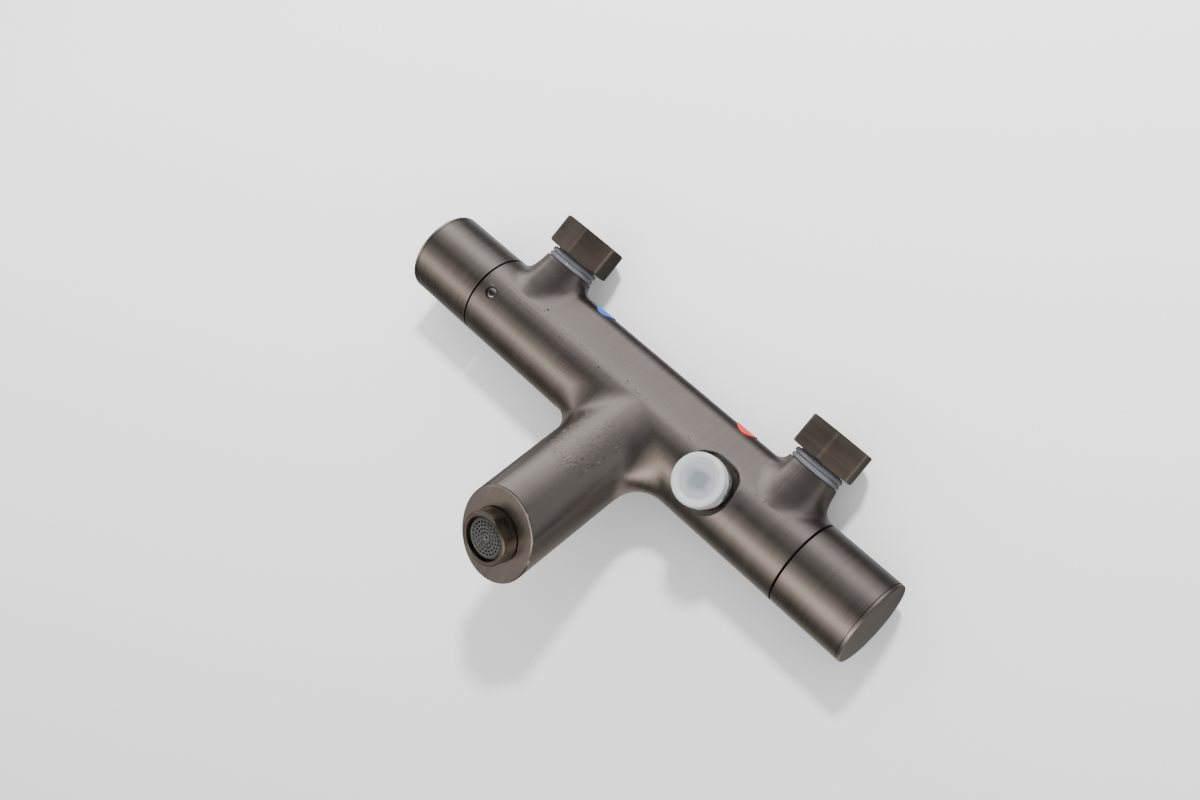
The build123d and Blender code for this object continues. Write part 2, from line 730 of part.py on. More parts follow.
def aerator_insert():
    """Perforated insert: rows of small windows between ring ridges."""
    top = aerator_reach - insert_inset
    base = insert_h0 + face_gap
    plate = cyl_on(aerator_plane, aerator_bore_r - insert_rim, base, top)
    plate += cyl_on(aerator_plane, aerator_bore_r - running_gap, base, top - insert_step)
    plate -= cyl_on(aerator_plane, insert_way_r, insert_h0 - past, top - insert_plate)
    for row_r, count in zip(insert_row_r, insert_row_count):
        for i in range(count):
            turn = aerator_plane * Rot(0, 0, i * 360 / count)
            plate -= turn * Pos(row_r, 0, top) * Box(window, window, 2 * (insert_plate + past))
    return plate


def aerator_washer():
    """Flat washer between the aerator and the floor of its bore."""
    inner = -aerator_depth - face_gap
    ring = cyl_on(aerator_plane, aerator_r - washer_margin, inner - washer_t + 2 * face_gap, inner)
    return ring - cyl_on(aerator_plane, washer_bore_r, inner - washer_t - past, inner + past)


def badge(x):
    """Round temperature badge that follows the back of the web."""
    disc = cyl_y(badge_r, back_y - back_r / 2, back_y + past, x=x)
    return (disc & web(running_gap + badge_t)) - web(running_gap)


nodes = {
    "mixer_body": mixer_body,
    "set_screw": set_screw,
    "thermo_housing": thermo_housing,
    "thermo_spindle": lambda: spindle(1, thermo_head_x, *spindle_head),
    "wax_element": wax_element,
    "shuttle": shuttle,
    "return_spring": return_spring,
    "stop_ring": stop_ring,
    "temperature_knob": temperature_knob,
    "temperature_cap": lambda: knob_cap(1),
    "temperature_screw": lambda: knob_screw(1),
    "safety_button": safety_button,
    "button_spring": button_spring,
    "flow_housing": flow_housing,
    "flow_retainer": flow_retainer,
    "fixed_disc": lambda: ceramic_disc(disc_x[0], disc_x[1] - face_gap, (0, 90, 180, 270)),
    "moving_disc": lambda: ceramic_disc(disc_x[1], disc_x[2] - face_gap, (0, 180)),
    "flow_spindle": lambda: spindle(-1, disc_x[2], *carrier_head),
    "flow_knob": lambda: knob(-1),
    "flow_cap": lambda: knob_cap(-1),
    "flow_screw": lambda: knob_screw(-1),
    "mixing_tube": mixing_tube,
    "outlet_nipple": outlet_nipple,
    "outlet_valve": outlet_valve,
    "outlet_cover": outlet_cover,
    "aerator_housing": aerator_housing,
    "aerator_insert": aerator_insert,
    "aerator_washer": aerator_washer,
    "badge_cold": lambda: badge(badge_x[0]),
    "badge_hot": lambda: badge(badge_x[1]),
}
for number, x in enumerate(thermo_ring_x, 1):
    nodes[f"thermo_o_ring_{number}"] = lambda x=x: o_ring_x(thermo_bore_r - running_gap, x)
for number, x in enumerate(flow_ring_x, 1):
    nodes[f"flow_o_ring_{number}"] = lambda x=x: o_ring_x(flow_bore_r - running_gap, -x)
for name, side in (("cold", 1), ("hot", -1)):
    nodes[f"union_nut_{name}"] = lambda side=side: union_nut(side)
    nodes[f"inlet_tube_{name}"] = lambda side=side: inlet_tube(side)
    nodes[f"screen_{name}"] = lambda side=side: screen(side)
    nodes[f"check_valve_{name}"] = lambda side=side: check_valve(side)
    nodes[f"seal_ring_{name}"] = lambda side=side: seal_ring(side)

os.makedirs("parts", exist_ok=True)
for name, make in nodes.items():
    solid = make()
    solid.label = name
    export_step(solid, f"parts/{name}.step")
    print(name, len(solid.solids()), solid.is_valid, flush=True)
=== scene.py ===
import logging
import math
from collections.abc import Callable, Iterator, Sequence
from contextlib import contextmanager
from dataclasses import dataclass, field
from enum import Enum

import bmesh
import bpy
from mathutils import Matrix, Quaternion, Vector


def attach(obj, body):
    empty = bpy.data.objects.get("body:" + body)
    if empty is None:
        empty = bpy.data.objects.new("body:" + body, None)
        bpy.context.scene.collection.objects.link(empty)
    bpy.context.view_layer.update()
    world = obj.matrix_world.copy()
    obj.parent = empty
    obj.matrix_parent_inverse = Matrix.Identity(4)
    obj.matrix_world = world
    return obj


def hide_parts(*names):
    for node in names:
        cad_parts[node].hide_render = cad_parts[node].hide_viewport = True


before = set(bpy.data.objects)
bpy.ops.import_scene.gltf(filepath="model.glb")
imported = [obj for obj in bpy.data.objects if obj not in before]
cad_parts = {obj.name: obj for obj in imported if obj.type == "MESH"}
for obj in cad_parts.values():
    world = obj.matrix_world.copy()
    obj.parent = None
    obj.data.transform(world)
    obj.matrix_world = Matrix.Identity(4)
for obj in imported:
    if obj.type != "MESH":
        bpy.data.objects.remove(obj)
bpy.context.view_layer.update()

log = logging.getLogger("bath_mixer")

MM = 0.001
BAR_R = 20.0 * MM
INLET_X = 75.0 * MM
OUTLET_X = -48.5 * MM
SPOUT_DROP = math.radians(30.0)
FACE_TILT = math.radians(60.0)
SMOOTH_ANGLE = math.radians(32.0)
FLAT_ANGLE = math.radians(0.05)
CORNER_SHARE = math.cos(math.radians(30.0))
WELD = 0.001 * MM
SLIP = 0.05 * MM
ROUND = 144
PLAIN_ROUND = 96
THREAD_STEPS = 64
NORMAL_WEIGHT = 80
STEEP = 0.9
LEVEL = 0.5
ACROSS = Vector((1.0, 0.0, 0.0))

Feed = bpy.types.NodeSocket | float | tuple[float, ...]


class Run(Enum):
    """Direction that a finish's fine lines are spaced along."""

    BAR = "along the bar"
    WALL = "towards the wall"
    NONE = "no direction"


def run_turn(run: Run) -> tuple[float, float, float]:
    """Euler turn that brings a run's direction onto the pattern's X axis.

    Args:
        run: Direction of the fine lines' spacing.

    Returns:
        Turn about X, Y and Z in radians.
    """
    if run is Run.WALL:
        return (0.0, 0.0, math.radians(-90.0))
    return (0.0, 0.0, 0.0)


def add_group(name: str, inputs: dict[str, float], outputs: dict[str, str]) -> tuple:
    """Makes an empty shader node group that reads a vector and named numbers.

    Args:
        name: Name of the group.
        inputs: Name and starting value of each number that goes in.
        outputs: Name and socket type of each result.

    Returns:
        The node tree, its input node and its output node.
    """
    tree = bpy.data.node_groups.new(name, "ShaderNodeTree")
    tree.interface.new_socket("Vector", in_out="INPUT", socket_type="NodeSocketVector")
    for label, value in inputs.items():
        socket = tree.interface.new_socket(label, in_out="INPUT", socket_type="NodeSocketFloat")
        socket.default_value = value
    for label, kind in outputs.items():
        tree.interface.new_socket(label, in_out="OUTPUT", socket_type=kind)
    return tree, tree.nodes.new("NodeGroupInput"), tree.nodes.new("NodeGroupOutput")


def add_node(tree: bpy.types.NodeTree, kind: str, feeds: dict[str | int, Feed] | None = None,
             **settings: object) -> bpy.types.Node:
    """Adds a shader node, sets it and feeds its inputs.

    Args:
        tree: The node tree.
        kind: The node's type, without the ShaderNode in front.
        feeds: For each input, a socket to link or a value to set.
        settings: Values set on the node.

    Returns:
        The new node.
    """
    node = tree.nodes.new(f"ShaderNode{kind}")
    for label, value in settings.items():
        setattr(node, label, value)
    for label, value in (feeds or {}).items():
        if isinstance(value, bpy.types.NodeSocket):
            tree.links.new(value, node.inputs[label])
        else:
            node.inputs[label].default_value = value
    return node


def map_range(tree: bpy.types.NodeTree, value: bpy.types.NodeSocket, low: float, high: float,
              to_low: float, to_high: float) -> bpy.types.NodeSocket:
    """Maps a value from one range onto another.

    Args:
        tree: The node tree.
        value: Socket with the value.
        low: Low end of the range it comes in.
        high: High end of the range it comes in.
        to_low: Low end of the result.
        to_high: High end of the result.

    Returns:
        Socket with the result.
    """
    return add_node(tree, "MapRange", {"Value": value, "From Min": low, "From Max": high, "To Min": to_low,
                                       "To Max": to_high}).outputs["Result"]


def compute(tree: bpy.types.NodeTree, operation: str, first: Feed, second: Feed = 0.0) -> bpy.types.NodeSocket:
    """Joins two values, or works on one.

    Args:
        tree: The node tree.
        operation: The Math node's operation.
        first: The first value.
        second: The second value.

    Returns:
        Socket with the result.
    """
    return add_node(tree, "Math", {0: first, 1: second}, operation=operation).outputs["Value"]


def mix_colors(tree: bpy.types.NodeTree, factor: Feed, first: Feed, second: Feed,
               blend: str = "MIX") -> bpy.types.NodeSocket:
    """Mixes two colours.

    Args:
        tree: The node tree.
        factor: Share of the second colour.
        first: The first colour.
        second: The second colour.
        blend: The way of mixing.

    Returns:
        Socket with the colour.
    """
    return add_node(tree, "Mix", {"Factor": factor, "A": first, "B": second}, data_type="RGBA",
                    blend_type=blend).outputs["Result"]


class Effects:
    """Shader groups that the finishes share, each built once."""

    def __init__(self) -> None:
        """Builds every group."""
        self.grain = self._grain()
        self.specks = self._specks()
        self.drift = self._drift()

    def _grain(self) -> bpy.types.NodeTree:
        """Fine brushed lines, spaced along X and long across it.

        Returns:
            The group, with a height and a tone.
        """
        tree, inp, out = add_group(
            "brushed_grain", {"Lines": 2600.0, "Length": 60.0},
            {"Height": "NodeSocketFloat", "Tone": "NodeSocketFloat"})
        length = inp.outputs["Length"]
        stretch = add_node(tree, "CombineXYZ", {"X": inp.outputs["Lines"], "Y": length, "Z": length})
        scaled = add_node(tree, "VectorMath", {0: inp.outputs["Vector"], 1: stretch.outputs["Vector"]},
                          operation="MULTIPLY").outputs["Vector"]
        fine = add_node(tree, "TexNoise", {"Vector": scaled, "Scale": 1.0, "Detail": 3.0, "Roughness": 0.65})
        wide = add_node(tree, "TexNoise", {"Vector": scaled, "Scale": 0.22, "Detail": 2.0})
        tree.links.new(fine.outputs["Fac"], out.inputs["Height"])
        tree.links.new(wide.outputs["Fac"], out.inputs["Tone"])
        return tree

    def _specks(self) -> bpy.types.NodeTree:
        """Sparse specks of dust, each in its own cell.

        Returns:
            The group, with a mask.
        """
        tree, inp, out = add_group(
            "dust_specks", {"Cells": 420.0, "Size": 0.09, "Share": 0.2}, {"Mask": "NodeSocketFloat"})
        cells = add_node(tree, "TexVoronoi", {"Vector": inp.outputs["Vector"], "Scale": inp.outputs["Cells"]})
        near = compute(tree, "LESS_THAN", cells.outputs["Distance"], inp.outputs["Size"])
        split = add_node(tree, "SeparateColor", {"Color": cells.outputs["Color"]})
        chosen = compute(tree, "LESS_THAN", split.outputs["Red"], inp.outputs["Share"])
        tree.links.new(compute(tree, "MULTIPLY", near, chosen), out.inputs["Mask"])
        return tree

    def _drift(self) -> bpy.types.NodeTree:
        """Slow, cloudy change of tone over a surface.

        Returns:
            The group, with a mask.
        """
        tree, inp, out = add_group("tone_drift", {"Scale": 30.0, "Detail": 3.0}, {"Mask": "NodeSocketFloat"})
        cloud = add_node(tree, "TexNoise", {label: inp.outputs[label] for label in ("Vector", "Scale", "Detail")})
        tree.links.new(cloud.outputs["Fac"], out.inputs["Mask"])
        return tree


@dataclass(frozen=True)
class Finish:
    """A surface finish and the values that tell it from the others."""

    name: str
    color: tuple[float, float, float]
    metallic: float = 0.0
    roughness: float = 0.4
    roughness_spread: float = 0.08
    tone_spread: float = 0.12
    run: Run = Run.NONE
    grain_lines: float = 2600.0
    grain_length: float = 60.0
    grain_bump: float = 0.0
    cloud_scale: float = 40.0
    cloud_bump: float = 0.0
    speck_share: float = 0.15
    speck_cells: float = 420.0
    speck_color: tuple[float, float, float] = (0.5, 0.48, 0.45)
    specular: float = 0.5
    coat: float = 0.0
    coat_roughness: float = 0.1
    transmission: float = 0.0
    ior: float = 1.5
    # Painted shade of a dark hollow seen through a thin disc: a darker core and a lighter painted shade over the
    # dish.
    core_r: float = 0.0
    core_blur: float = 1.2 * MM
    hollow_shade_color: tuple[float, float, float] = (0.3, 0.33, 0.38)
    dish_r: float = 8.2 * MM
    dish_blur: float = 0.7 * MM
    dish_shade_share: float = 0.5
    # Painted highlight on a union nut's ridges: the tone is raised between these two distances from its axis, by
    # up to the gain.
    ridge_highlight_from: float = 0.0
    ridge_highlight_to: float = 0.0
    ridge_highlight_gain: float = 2.0
    blend_range: tuple[float, float] = (0.7, 1.3)
    cloud_range: tuple[float, float] = (0.3, 0.7)

    def material(self, effects: Effects) -> bpy.types.Material:
        """Builds the finish as a material.

        Args:
            effects: The shared shader groups.

        Returns:
            The new material.
        """
        mat = bpy.data.materials.new(self.name)
        mat.use_nodes = True
        tree = mat.node_tree
        link = tree.links.new
        shader = tree.nodes["Principled BSDF"]
        for label, value in (("Metallic", self.metallic), ("Specular IOR Level", self.specular),
                             ("Coat Weight", self.coat), ("Coat Roughness", self.coat_roughness),
                             ("Transmission Weight", self.transmission), ("IOR", self.ior)):
            shader.inputs[label].default_value = value
        place = add_node(tree, "TexCoord").outputs["Object"]
        turned = add_node(tree, "Mapping", {"Vector": place, "Rotation": run_turn(self.run)}).outputs["Vector"]
        drift = add_node(tree, "Group", {"Vector": place, "Scale": self.cloud_scale},
                         node_tree=effects.drift).outputs["Mask"]
        grain = add_node(tree, "Group", {"Vector": turned, "Lines": self.grain_lines,
                                         "Length": self.grain_length}, node_tree=effects.grain)
        specks = add_node(tree, "Group", {"Vector": place, "Share": self.speck_share,
                                          "Cells": self.speck_cells}, node_tree=effects.specks)

        blend = compute(tree, "ADD", drift, drift if self.run is Run.NONE else grain.outputs["Tone"])
        tone = map_range(tree, blend, *self.blend_range, 1.0 - self.tone_spread, 1.0 + self.tone_spread)
        # Painted highlight along a union nut's ridges.
        if self.ridge_highlight_to:
            tone = self._paint_ridge_highlight(tree, place, tone)
        color = mix_colors(tree, 1.0, (*self.color, 1.0), tone, "MULTIPLY")
        color = mix_colors(tree, specks.outputs["Mask"], color, (*self.speck_color, 1.0))
        # Painted shade where the hollow behind a thin disc would show through.
        if self.core_r:
            color = self._paint_hollow_shade(tree, place, color, drift)
        link(color, shader.inputs["Base Color"])
        link(map_range(tree, blend, *self.blend_range, self.roughness - self.roughness_spread,
                       self.roughness + self.roughness_spread), shader.inputs["Roughness"])

        heights = [compute(tree, "MULTIPLY", height, bump)
                   for height, bump in ((grain.outputs["Height"], self.grain_bump), (drift, self.cloud_bump))
                   if bump]
        if heights:
            height = heights[0] if len(heights) == 1 else compute(tree, "ADD", *heights)
            bump = add_node(tree, "Bump", {"Distance": MM, "Height": height})
            link(bump.outputs["Normal"], shader.inputs["Normal"])
        return mat

    def _paint_ridge_highlight(self, tree: bpy.types.NodeTree, place: bpy.types.NodeSocket,
                     tone: bpy.types.NodeSocket) -> bpy.types.NodeSocket:
        """Paints a highlight on a union nut's ridges, which lie furthest from its axis.

        Args:
            tree: The material's node tree.
            place: Socket with the place on the object.
            tone: Socket with the tone so far.

        Returns:
            Socket with the tone, lightened by the painted highlight over the ridges.
        """
        split = add_node(tree, "SeparateXYZ", {"Vector": place})
        aside = compute(tree, "SUBTRACT", compute(tree, "ABSOLUTE", split.outputs["X"]), INLET_X)
        rise = split.outputs["Z"]
        square = compute(tree, "ADD", compute(tree, "MULTIPLY", aside, aside),
                         compute(tree, "MULTIPLY", rise, rise))
        away = compute(tree, "SQRT", square)
        # Painted highlight: the tone rises towards the ridges.
        return compute(tree, "MULTIPLY", tone,
                       map_range(tree, away, self.ridge_highlight_from, self.ridge_highlight_to, 1.0, self.ridge_highlight_gain))

    def _paint_hollow_shade(self, tree: bpy.types.NodeTree, place: bpy.types.NodeSocket, color: bpy.types.NodeSocket,
                   cloud: bpy.types.NodeSocket) -> bpy.types.NodeSocket:
        """Paints shade on a thin upright disc where the dark hollow behind it would show through.

        Args:
            tree: The material's node tree.
            place: Socket with the place on the object.
            color: Socket with the colour so far.
            cloud: Socket with a slow change that makes the hollow's outline uneven.

        Returns:
            Socket with the colour under the painted shade of the hollow.
        """
        centred = add_node(tree, "Mapping", {"Vector": place, "Location": (-OUTLET_X, 0.0, 0.0),
                                             "Scale": (1.0, 1.0, 0.0)})
        away = add_node(tree, "VectorMath", {0: centred.outputs["Vector"]}, operation="LENGTH").outputs["Value"]
        shift = map_range(tree, cloud, *self.cloud_range, -self.core_blur, self.core_blur)
        # Painted shade: darkest in the core, lighter over the dish.
        core = map_range(tree, compute(tree, "ADD", away, shift), self.core_r - self.core_blur,
                         self.core_r + self.core_blur, 1.0 - self.dish_shade_share, 0.0)
        dish = map_range(tree, away, self.dish_r - self.dish_blur, self.dish_r + self.dish_blur,
                         self.dish_shade_share, 0.0)
        return mix_colors(tree, compute(tree, "ADD", core, dish), color, (*self.hollow_shade_color, 1.0))


BODY_METAL = Finish("gunmetal_body", (0.30, 0.263, 0.243), metallic=1.0, roughness=0.30, run=Run.BAR,
                    roughness_spread=0.03, tone_spread=0.09, grain_bump=0.003, speck_share=0.0)
KNOB_METAL = Finish("gunmetal_knob", (0.30, 0.263, 0.24), metallic=1.0, roughness=0.29, run=Run.BAR,
                    roughness_spread=0.03, tone_spread=0.09, grain_bump=0.003, speck_share=0.0)
# Same gunmetal as the knobs, made lighter as a painted reflection of the lit table.
END_METAL_PAINTED_REFLECTION = Finish("gunmetal_end_painted_reflection", (0.38, 0.335, 0.305), metallic=1.0, roughness=0.30, run=Run.NONE,
                   roughness_spread=0.02, tone_spread=0.04, cloud_scale=60.0, speck_share=0.02)
# The nut's ridges carry a painted highlight.
NUT_METAL = Finish("gunmetal_nut", (0.205, 0.175, 0.15), metallic=1.0, roughness=0.34, run=Run.WALL,
                   roughness_spread=0.05, tone_spread=0.16, cloud_scale=70.0, grain_bump=0.003, grain_lines=1500.0,
                   speck_share=0.02, ridge_highlight_from=15.72 * MM, ridge_highlight_to=15.95 * MM, ridge_highlight_gain=2.0)
THREAD_METAL = Finish("thread_metal", (0.42, 0.42, 0.42), metallic=1.0, roughness=0.3, cloud_scale=300.0,
                      speck_share=0.1)
AERATOR_METAL = Finish("gunmetal_aerator", (0.19, 0.16, 0.135), metallic=1.0, roughness=0.34,
                       tone_spread=0.05, cloud_scale=200.0)
BRIGHT = Finish("bright_metal", (0.88, 0.88, 0.88), metallic=0.1, roughness=0.12, roughness_spread=0.03,
                tone_spread=0.03, cloud_scale=300.0, speck_share=0.0)
BRASS = Finish("turned_brass", (0.58, 0.42, 0.18), metallic=1.0, roughness=0.3, run=Run.BAR, grain_bump=0.006)
DARK_PLASTIC = Finish("dark_plastic", (0.035, 0.035, 0.038), roughness=0.45, cloud_scale=900.0,
                      cloud_bump=0.01)
GREY_PLASTIC = Finish("grey_plastic", (0.085, 0.088, 0.097), roughness=0.38, tone_spread=0.05,
                      cloud_scale=900.0, cloud_bump=0.008)
INSERT_PLASTIC = Finish("insert_plastic", (0.055, 0.053, 0.05), roughness=0.4, cloud_scale=700.0,
                        cloud_bump=0.01)
# The cap's darker core and dish are painted shade of the hollow behind it.
MILKY = Finish("milky_plastic", (0.42, 0.435, 0.455), roughness=0.30, roughness_spread=0.03, tone_spread=0.02,
               transmission=0.25, ior=1.49, cloud_scale=160.0, speck_share=0.01, core_r=4.6 * MM,
               core_blur=1.6 * MM, hollow_shade_color=(0.16, 0.18, 0.21))
RUBBER = Finish("black_rubber", (0.02, 0.02, 0.02), roughness=0.7, cloud_scale=1200.0, cloud_bump=0.02)
WIRE = Finish("spring_wire", (0.5, 0.5, 0.52), metallic=1.0, roughness=0.28, cloud_scale=800.0)
CERAMIC = Finish("lapped_ceramic", (0.7, 0.7, 0.67), roughness=0.2, cloud_scale=500.0)
BLUE = Finish("blue_enamel", (0.02, 0.11, 0.36), roughness=0.25, coat=0.5, cloud_scale=600.0, tone_spread=0.04)
RED = Finish("red_enamel", (0.58, 0.025, 0.02), roughness=0.25, coat=0.5, cloud_scale=600.0, tone_spread=0.04)


def select_only(obj: bpy.types.Object) -> None:
    """Selects one piece and makes it the active one.

    Args:
        obj: The piece.
    """
    bpy.ops.object.select_all(action="DESELECT")
    obj.select_set(True)
    bpy.context.view_layer.objects.active = obj


@contextmanager
def editing(obj: bpy.types.Object) -> Iterator[None]:
    """Opens a piece in edit mode and closes it again.

    Args:
        obj: The piece.

    Yields:
        Nothing; the piece is in edit mode meanwhile.
    """
    select_only(obj)
    bpy.ops.object.mode_set(mode="EDIT")
    yield
    bpy.ops.object.mode_set(mode="OBJECT")


def pick(obj: bpy.types.Object, kind: str, test: Callable[[Vector, Vector], bool]) -> None:
    """Selects the faces or edges of the open piece that pass a test.

    Args:
        obj: The piece, in edit mode.
        kind: "FACE" or "EDGE".
        test: Takes the middle and the normal (of an edge: its direction) and says yes or no.
    """
    bpy.ops.mesh.select_mode(type=kind)
    bpy.ops.mesh.select_all(action="DESELECT")
    mesh = bmesh.from_edit_mesh(obj.data)
    if kind == "FACE":
        for face in mesh.faces:
            if test(face.calc_center_median(), face.normal):
                face.select_set(True)
    else:
        for edge in mesh.edges:
            a, b = edge.verts[0].co, edge.verts[1].co
            if test((a + b) / 2.0, (b - a).normalized()):
                edge.select_set(True)
    bmesh.update_edit_mesh(obj.data)


def pick_verts(obj: bpy.types.Object, test: Callable[[Vector], bool]) -> None:
    """Selects the vertices of the open piece that pass a test.

    Args:
        obj: The piece, in edit mode.
        test: Takes the place and says yes or no.
    """
    bpy.ops.mesh.select_mode(type="VERT")
    bpy.ops.mesh.select_all(action="DESELECT")
    mesh = bmesh.from_edit_mesh(obj.data)
    for vert in mesh.verts:
        vert.select_set(test(vert.co))
    mesh.select_flush(False)


def add_piece(name: str, add: Callable[..., object], **values: object) -> bpy.types.Object:
    """Adds a plain form and applies its place.

    Args:
        name: Name of the piece.
        add: The operator that adds it.
        values: The operator's values.

    Returns:
        The new piece.
    """
    bpy.ops.object.select_all(action="DESELECT")
    add(**values)
    obj = bpy.context.object
    obj.name = name
    bpy.ops.object.transform_apply(location=True, rotation=True, scale=True)
    return obj


def add_cylinder(name: str, radius: float, low: float, high: float,
                 sides: int = PLAIN_ROUND) -> bpy.types.Object:
    """Adds an upright closed cylinder.

    Args:
        name: Name of the piece.
        radius: Its radius in metres.
        low: Height of its lower end.
        high: Height of its upper end.
        sides: Number of sides.

    Returns:
        The new piece.
    """
    return add_piece(name, bpy.ops.mesh.primitive_cylinder_add, vertices=sides, radius=radius,
                     depth=high - low, location=(0.0, 0.0, (low + high) / 2.0), end_fill_type="NGON")


def add_block(name: str, size: tuple[float, float, float], at: tuple[float, float, float]) -> bpy.types.Object:
    """Adds a block.

    Args:
        name: Name of the piece.
        size: Its three sizes.
        at: Its middle.

    Returns:
        The new piece.
    """
    return add_piece(name, bpy.ops.mesh.primitive_cube_add, size=1.0, location=at, scale=size)


def turn_profile(name: str, profile: Sequence[tuple[float, float]],
                 sides: int = ROUND) -> bpy.types.Object:
    """Turns a closed ring section: a circle is extruded and resized from point to point.

    Args:
        name: Name of the piece.
        profile: Corners of the section as radius and height in metres, in order.
        sides: Number of sides.

    Returns:
        The new piece.
    """
    radius, height = profile[0]
    obj = add_piece(name, bpy.ops.mesh.primitive_circle_add, vertices=sides, radius=radius,
                    location=(0.0, 0.0, height))
    with editing(obj):
        bpy.ops.mesh.select_mode(type="VERT")
        bpy.ops.mesh.select_all(action="SELECT")
        for next_radius, next_height in (*profile[1:], profile[0]):
            bpy.ops.mesh.extrude_region_move(
                TRANSFORM_OT_translate={"value": (0.0, 0.0, next_height - height)})
            ratio = next_radius / radius
            bpy.ops.transform.resize(value=(ratio, ratio, 1.0), center_override=(0.0, 0.0, next_height))
            radius, height = next_radius, next_height
        bpy.ops.mesh.select_all(action="SELECT")
        bpy.ops.mesh.remove_doubles(threshold=WELD)
        bpy.ops.mesh.normals_make_consistent(inside=False)
    return obj


def finish_modifier(obj: bpy.types.Object, kind: str, **settings: object) -> None:
    """Adds a modifier and applies it.

    Args:
        obj: The piece.
        kind: The modifier's type.
        settings: Values set on the modifier.
    """
    modifier = obj.modifiers.new(kind.lower(), kind)
    for label, value in settings.items():
        setattr(modifier, label, value)
    select_only(obj)
    bpy.ops.object.modifier_apply(modifier=modifier.name)


def soften(obj: bpy.types.Object, width: float, segments: int = 2) -> None:
    """Rounds a piece's sharp edges a little.

    Args:
        obj: The piece.
        width: Width of the rounding in metres.
        segments: Number of steps across it.
    """
    finish_modifier(obj, "BEVEL", width=width, segments=segments, limit_method="ANGLE",
                    angle_limit=SMOOTH_ANGLE, harden_normals=False)


def cut(obj: bpy.types.Object, tool: bpy.types.Object, operation: str = "DIFFERENCE") -> None:
    """Cuts a piece with another one, which is used up.

    Args:
        obj: The piece that stays.
        tool: The piece that cuts it.
        operation: The boolean's kind.
    """
    finish_modifier(obj, "BOOLEAN", object=tool, operation=operation, solver="EXACT")
    bpy.data.objects.remove(tool)


def settle(obj: bpy.types.Object, place: Matrix) -> None:
    """Puts a finished piece in its place, with its object at the origin.

    Args:
        obj: The piece.
        place: Its place and turn.
    """
    obj.matrix_world = place
    select_only(obj)
    bpy.ops.object.transform_apply(location=True, rotation=True, scale=True)
    bpy.ops.object.shade_smooth_by_angle(angle=SMOOTH_ANGLE)
    finish_modifier(obj, "WEIGHTED_NORMAL", keep_sharp=True, weight=NORMAL_WEIGHT)


def standing_on(origin: Vector, direction: Vector, across: Vector) -> Matrix:
    """Place whose Z runs along a direction and whose X runs across it.

    Args:
        origin: Where its origin goes.
        direction: Where its Z goes.
        across: Where its X goes.

    Returns:
        The place as a matrix.
    """
    z = direction.normalized()
    y = z.cross(across).normalized()
    turn = Matrix((y.cross(z), y, z)).transposed().to_4x4()
    return Matrix.Translation(origin) @ turn


def screw_thread(name: str, crest: float, root: float, pitch: float, low: float,
                 high: float) -> bpy.types.Object:
    """Makes a solid threaded rod: a V line is screwed up and cut off square at both ends.

    Args:
        name: Name of the piece.
        crest: Radius at the crests.
        root: Radius at the roots.
        pitch: Rise of one turn.
        low: Height of the lower end.
        high: Height of the upper end.

    Returns:
        The new piece.
    """
    turns = math.ceil((high - low) / pitch) + 2
    start = low - pitch
    middle = start + pitch / 2.0
    flank = 0.3
    obj = add_piece(name, bpy.ops.mesh.primitive_plane_add, size=pitch,
                    location=(crest - pitch / 2.0, 0.0, middle), rotation=(math.radians(90.0), 0.0, 0.0))
    with editing(obj):
        pick_verts(obj, lambda at: at.x < crest - pitch / 2.0)
        bpy.ops.mesh.delete(type="VERT")
        bpy.ops.mesh.select_all(action="SELECT")
        bpy.ops.mesh.subdivide(number_cuts=3)
        pick_verts(obj, lambda at: abs(at.z - middle) < pitch / 8.0)
        bpy.ops.transform.translate(value=(root - crest, 0.0, 0.0))
        pick_verts(obj, lambda at: abs(abs(at.z - middle) - pitch / 4.0) < pitch / 16.0)
        bpy.ops.transform.translate(value=((root - crest) * flank, 0.0, 0.0))
    finish_modifier(obj, "SCREW", axis="Z", angle=2.0 * math.pi, screw_offset=pitch, iterations=turns,
                    steps=THREAD_STEPS, render_steps=THREAD_STEPS, use_merge_vertices=True,
                    merge_threshold=WELD)
    with editing(obj):
        bpy.ops.mesh.select_all(action="SELECT")
        bpy.ops.mesh.remove_doubles(threshold=WELD)
        for height in (low, high):
            bpy.ops.mesh.bisect(plane_co=(0.0, 0.0, height), plane_no=(0.0, 0.0, 1.0), use_fill=True,
                                clear_inner=height == low, clear_outer=height == high)
            bpy.ops.mesh.select_all(action="SELECT")
        bpy.ops.mesh.normals_make_consistent(inside=False)
    return obj


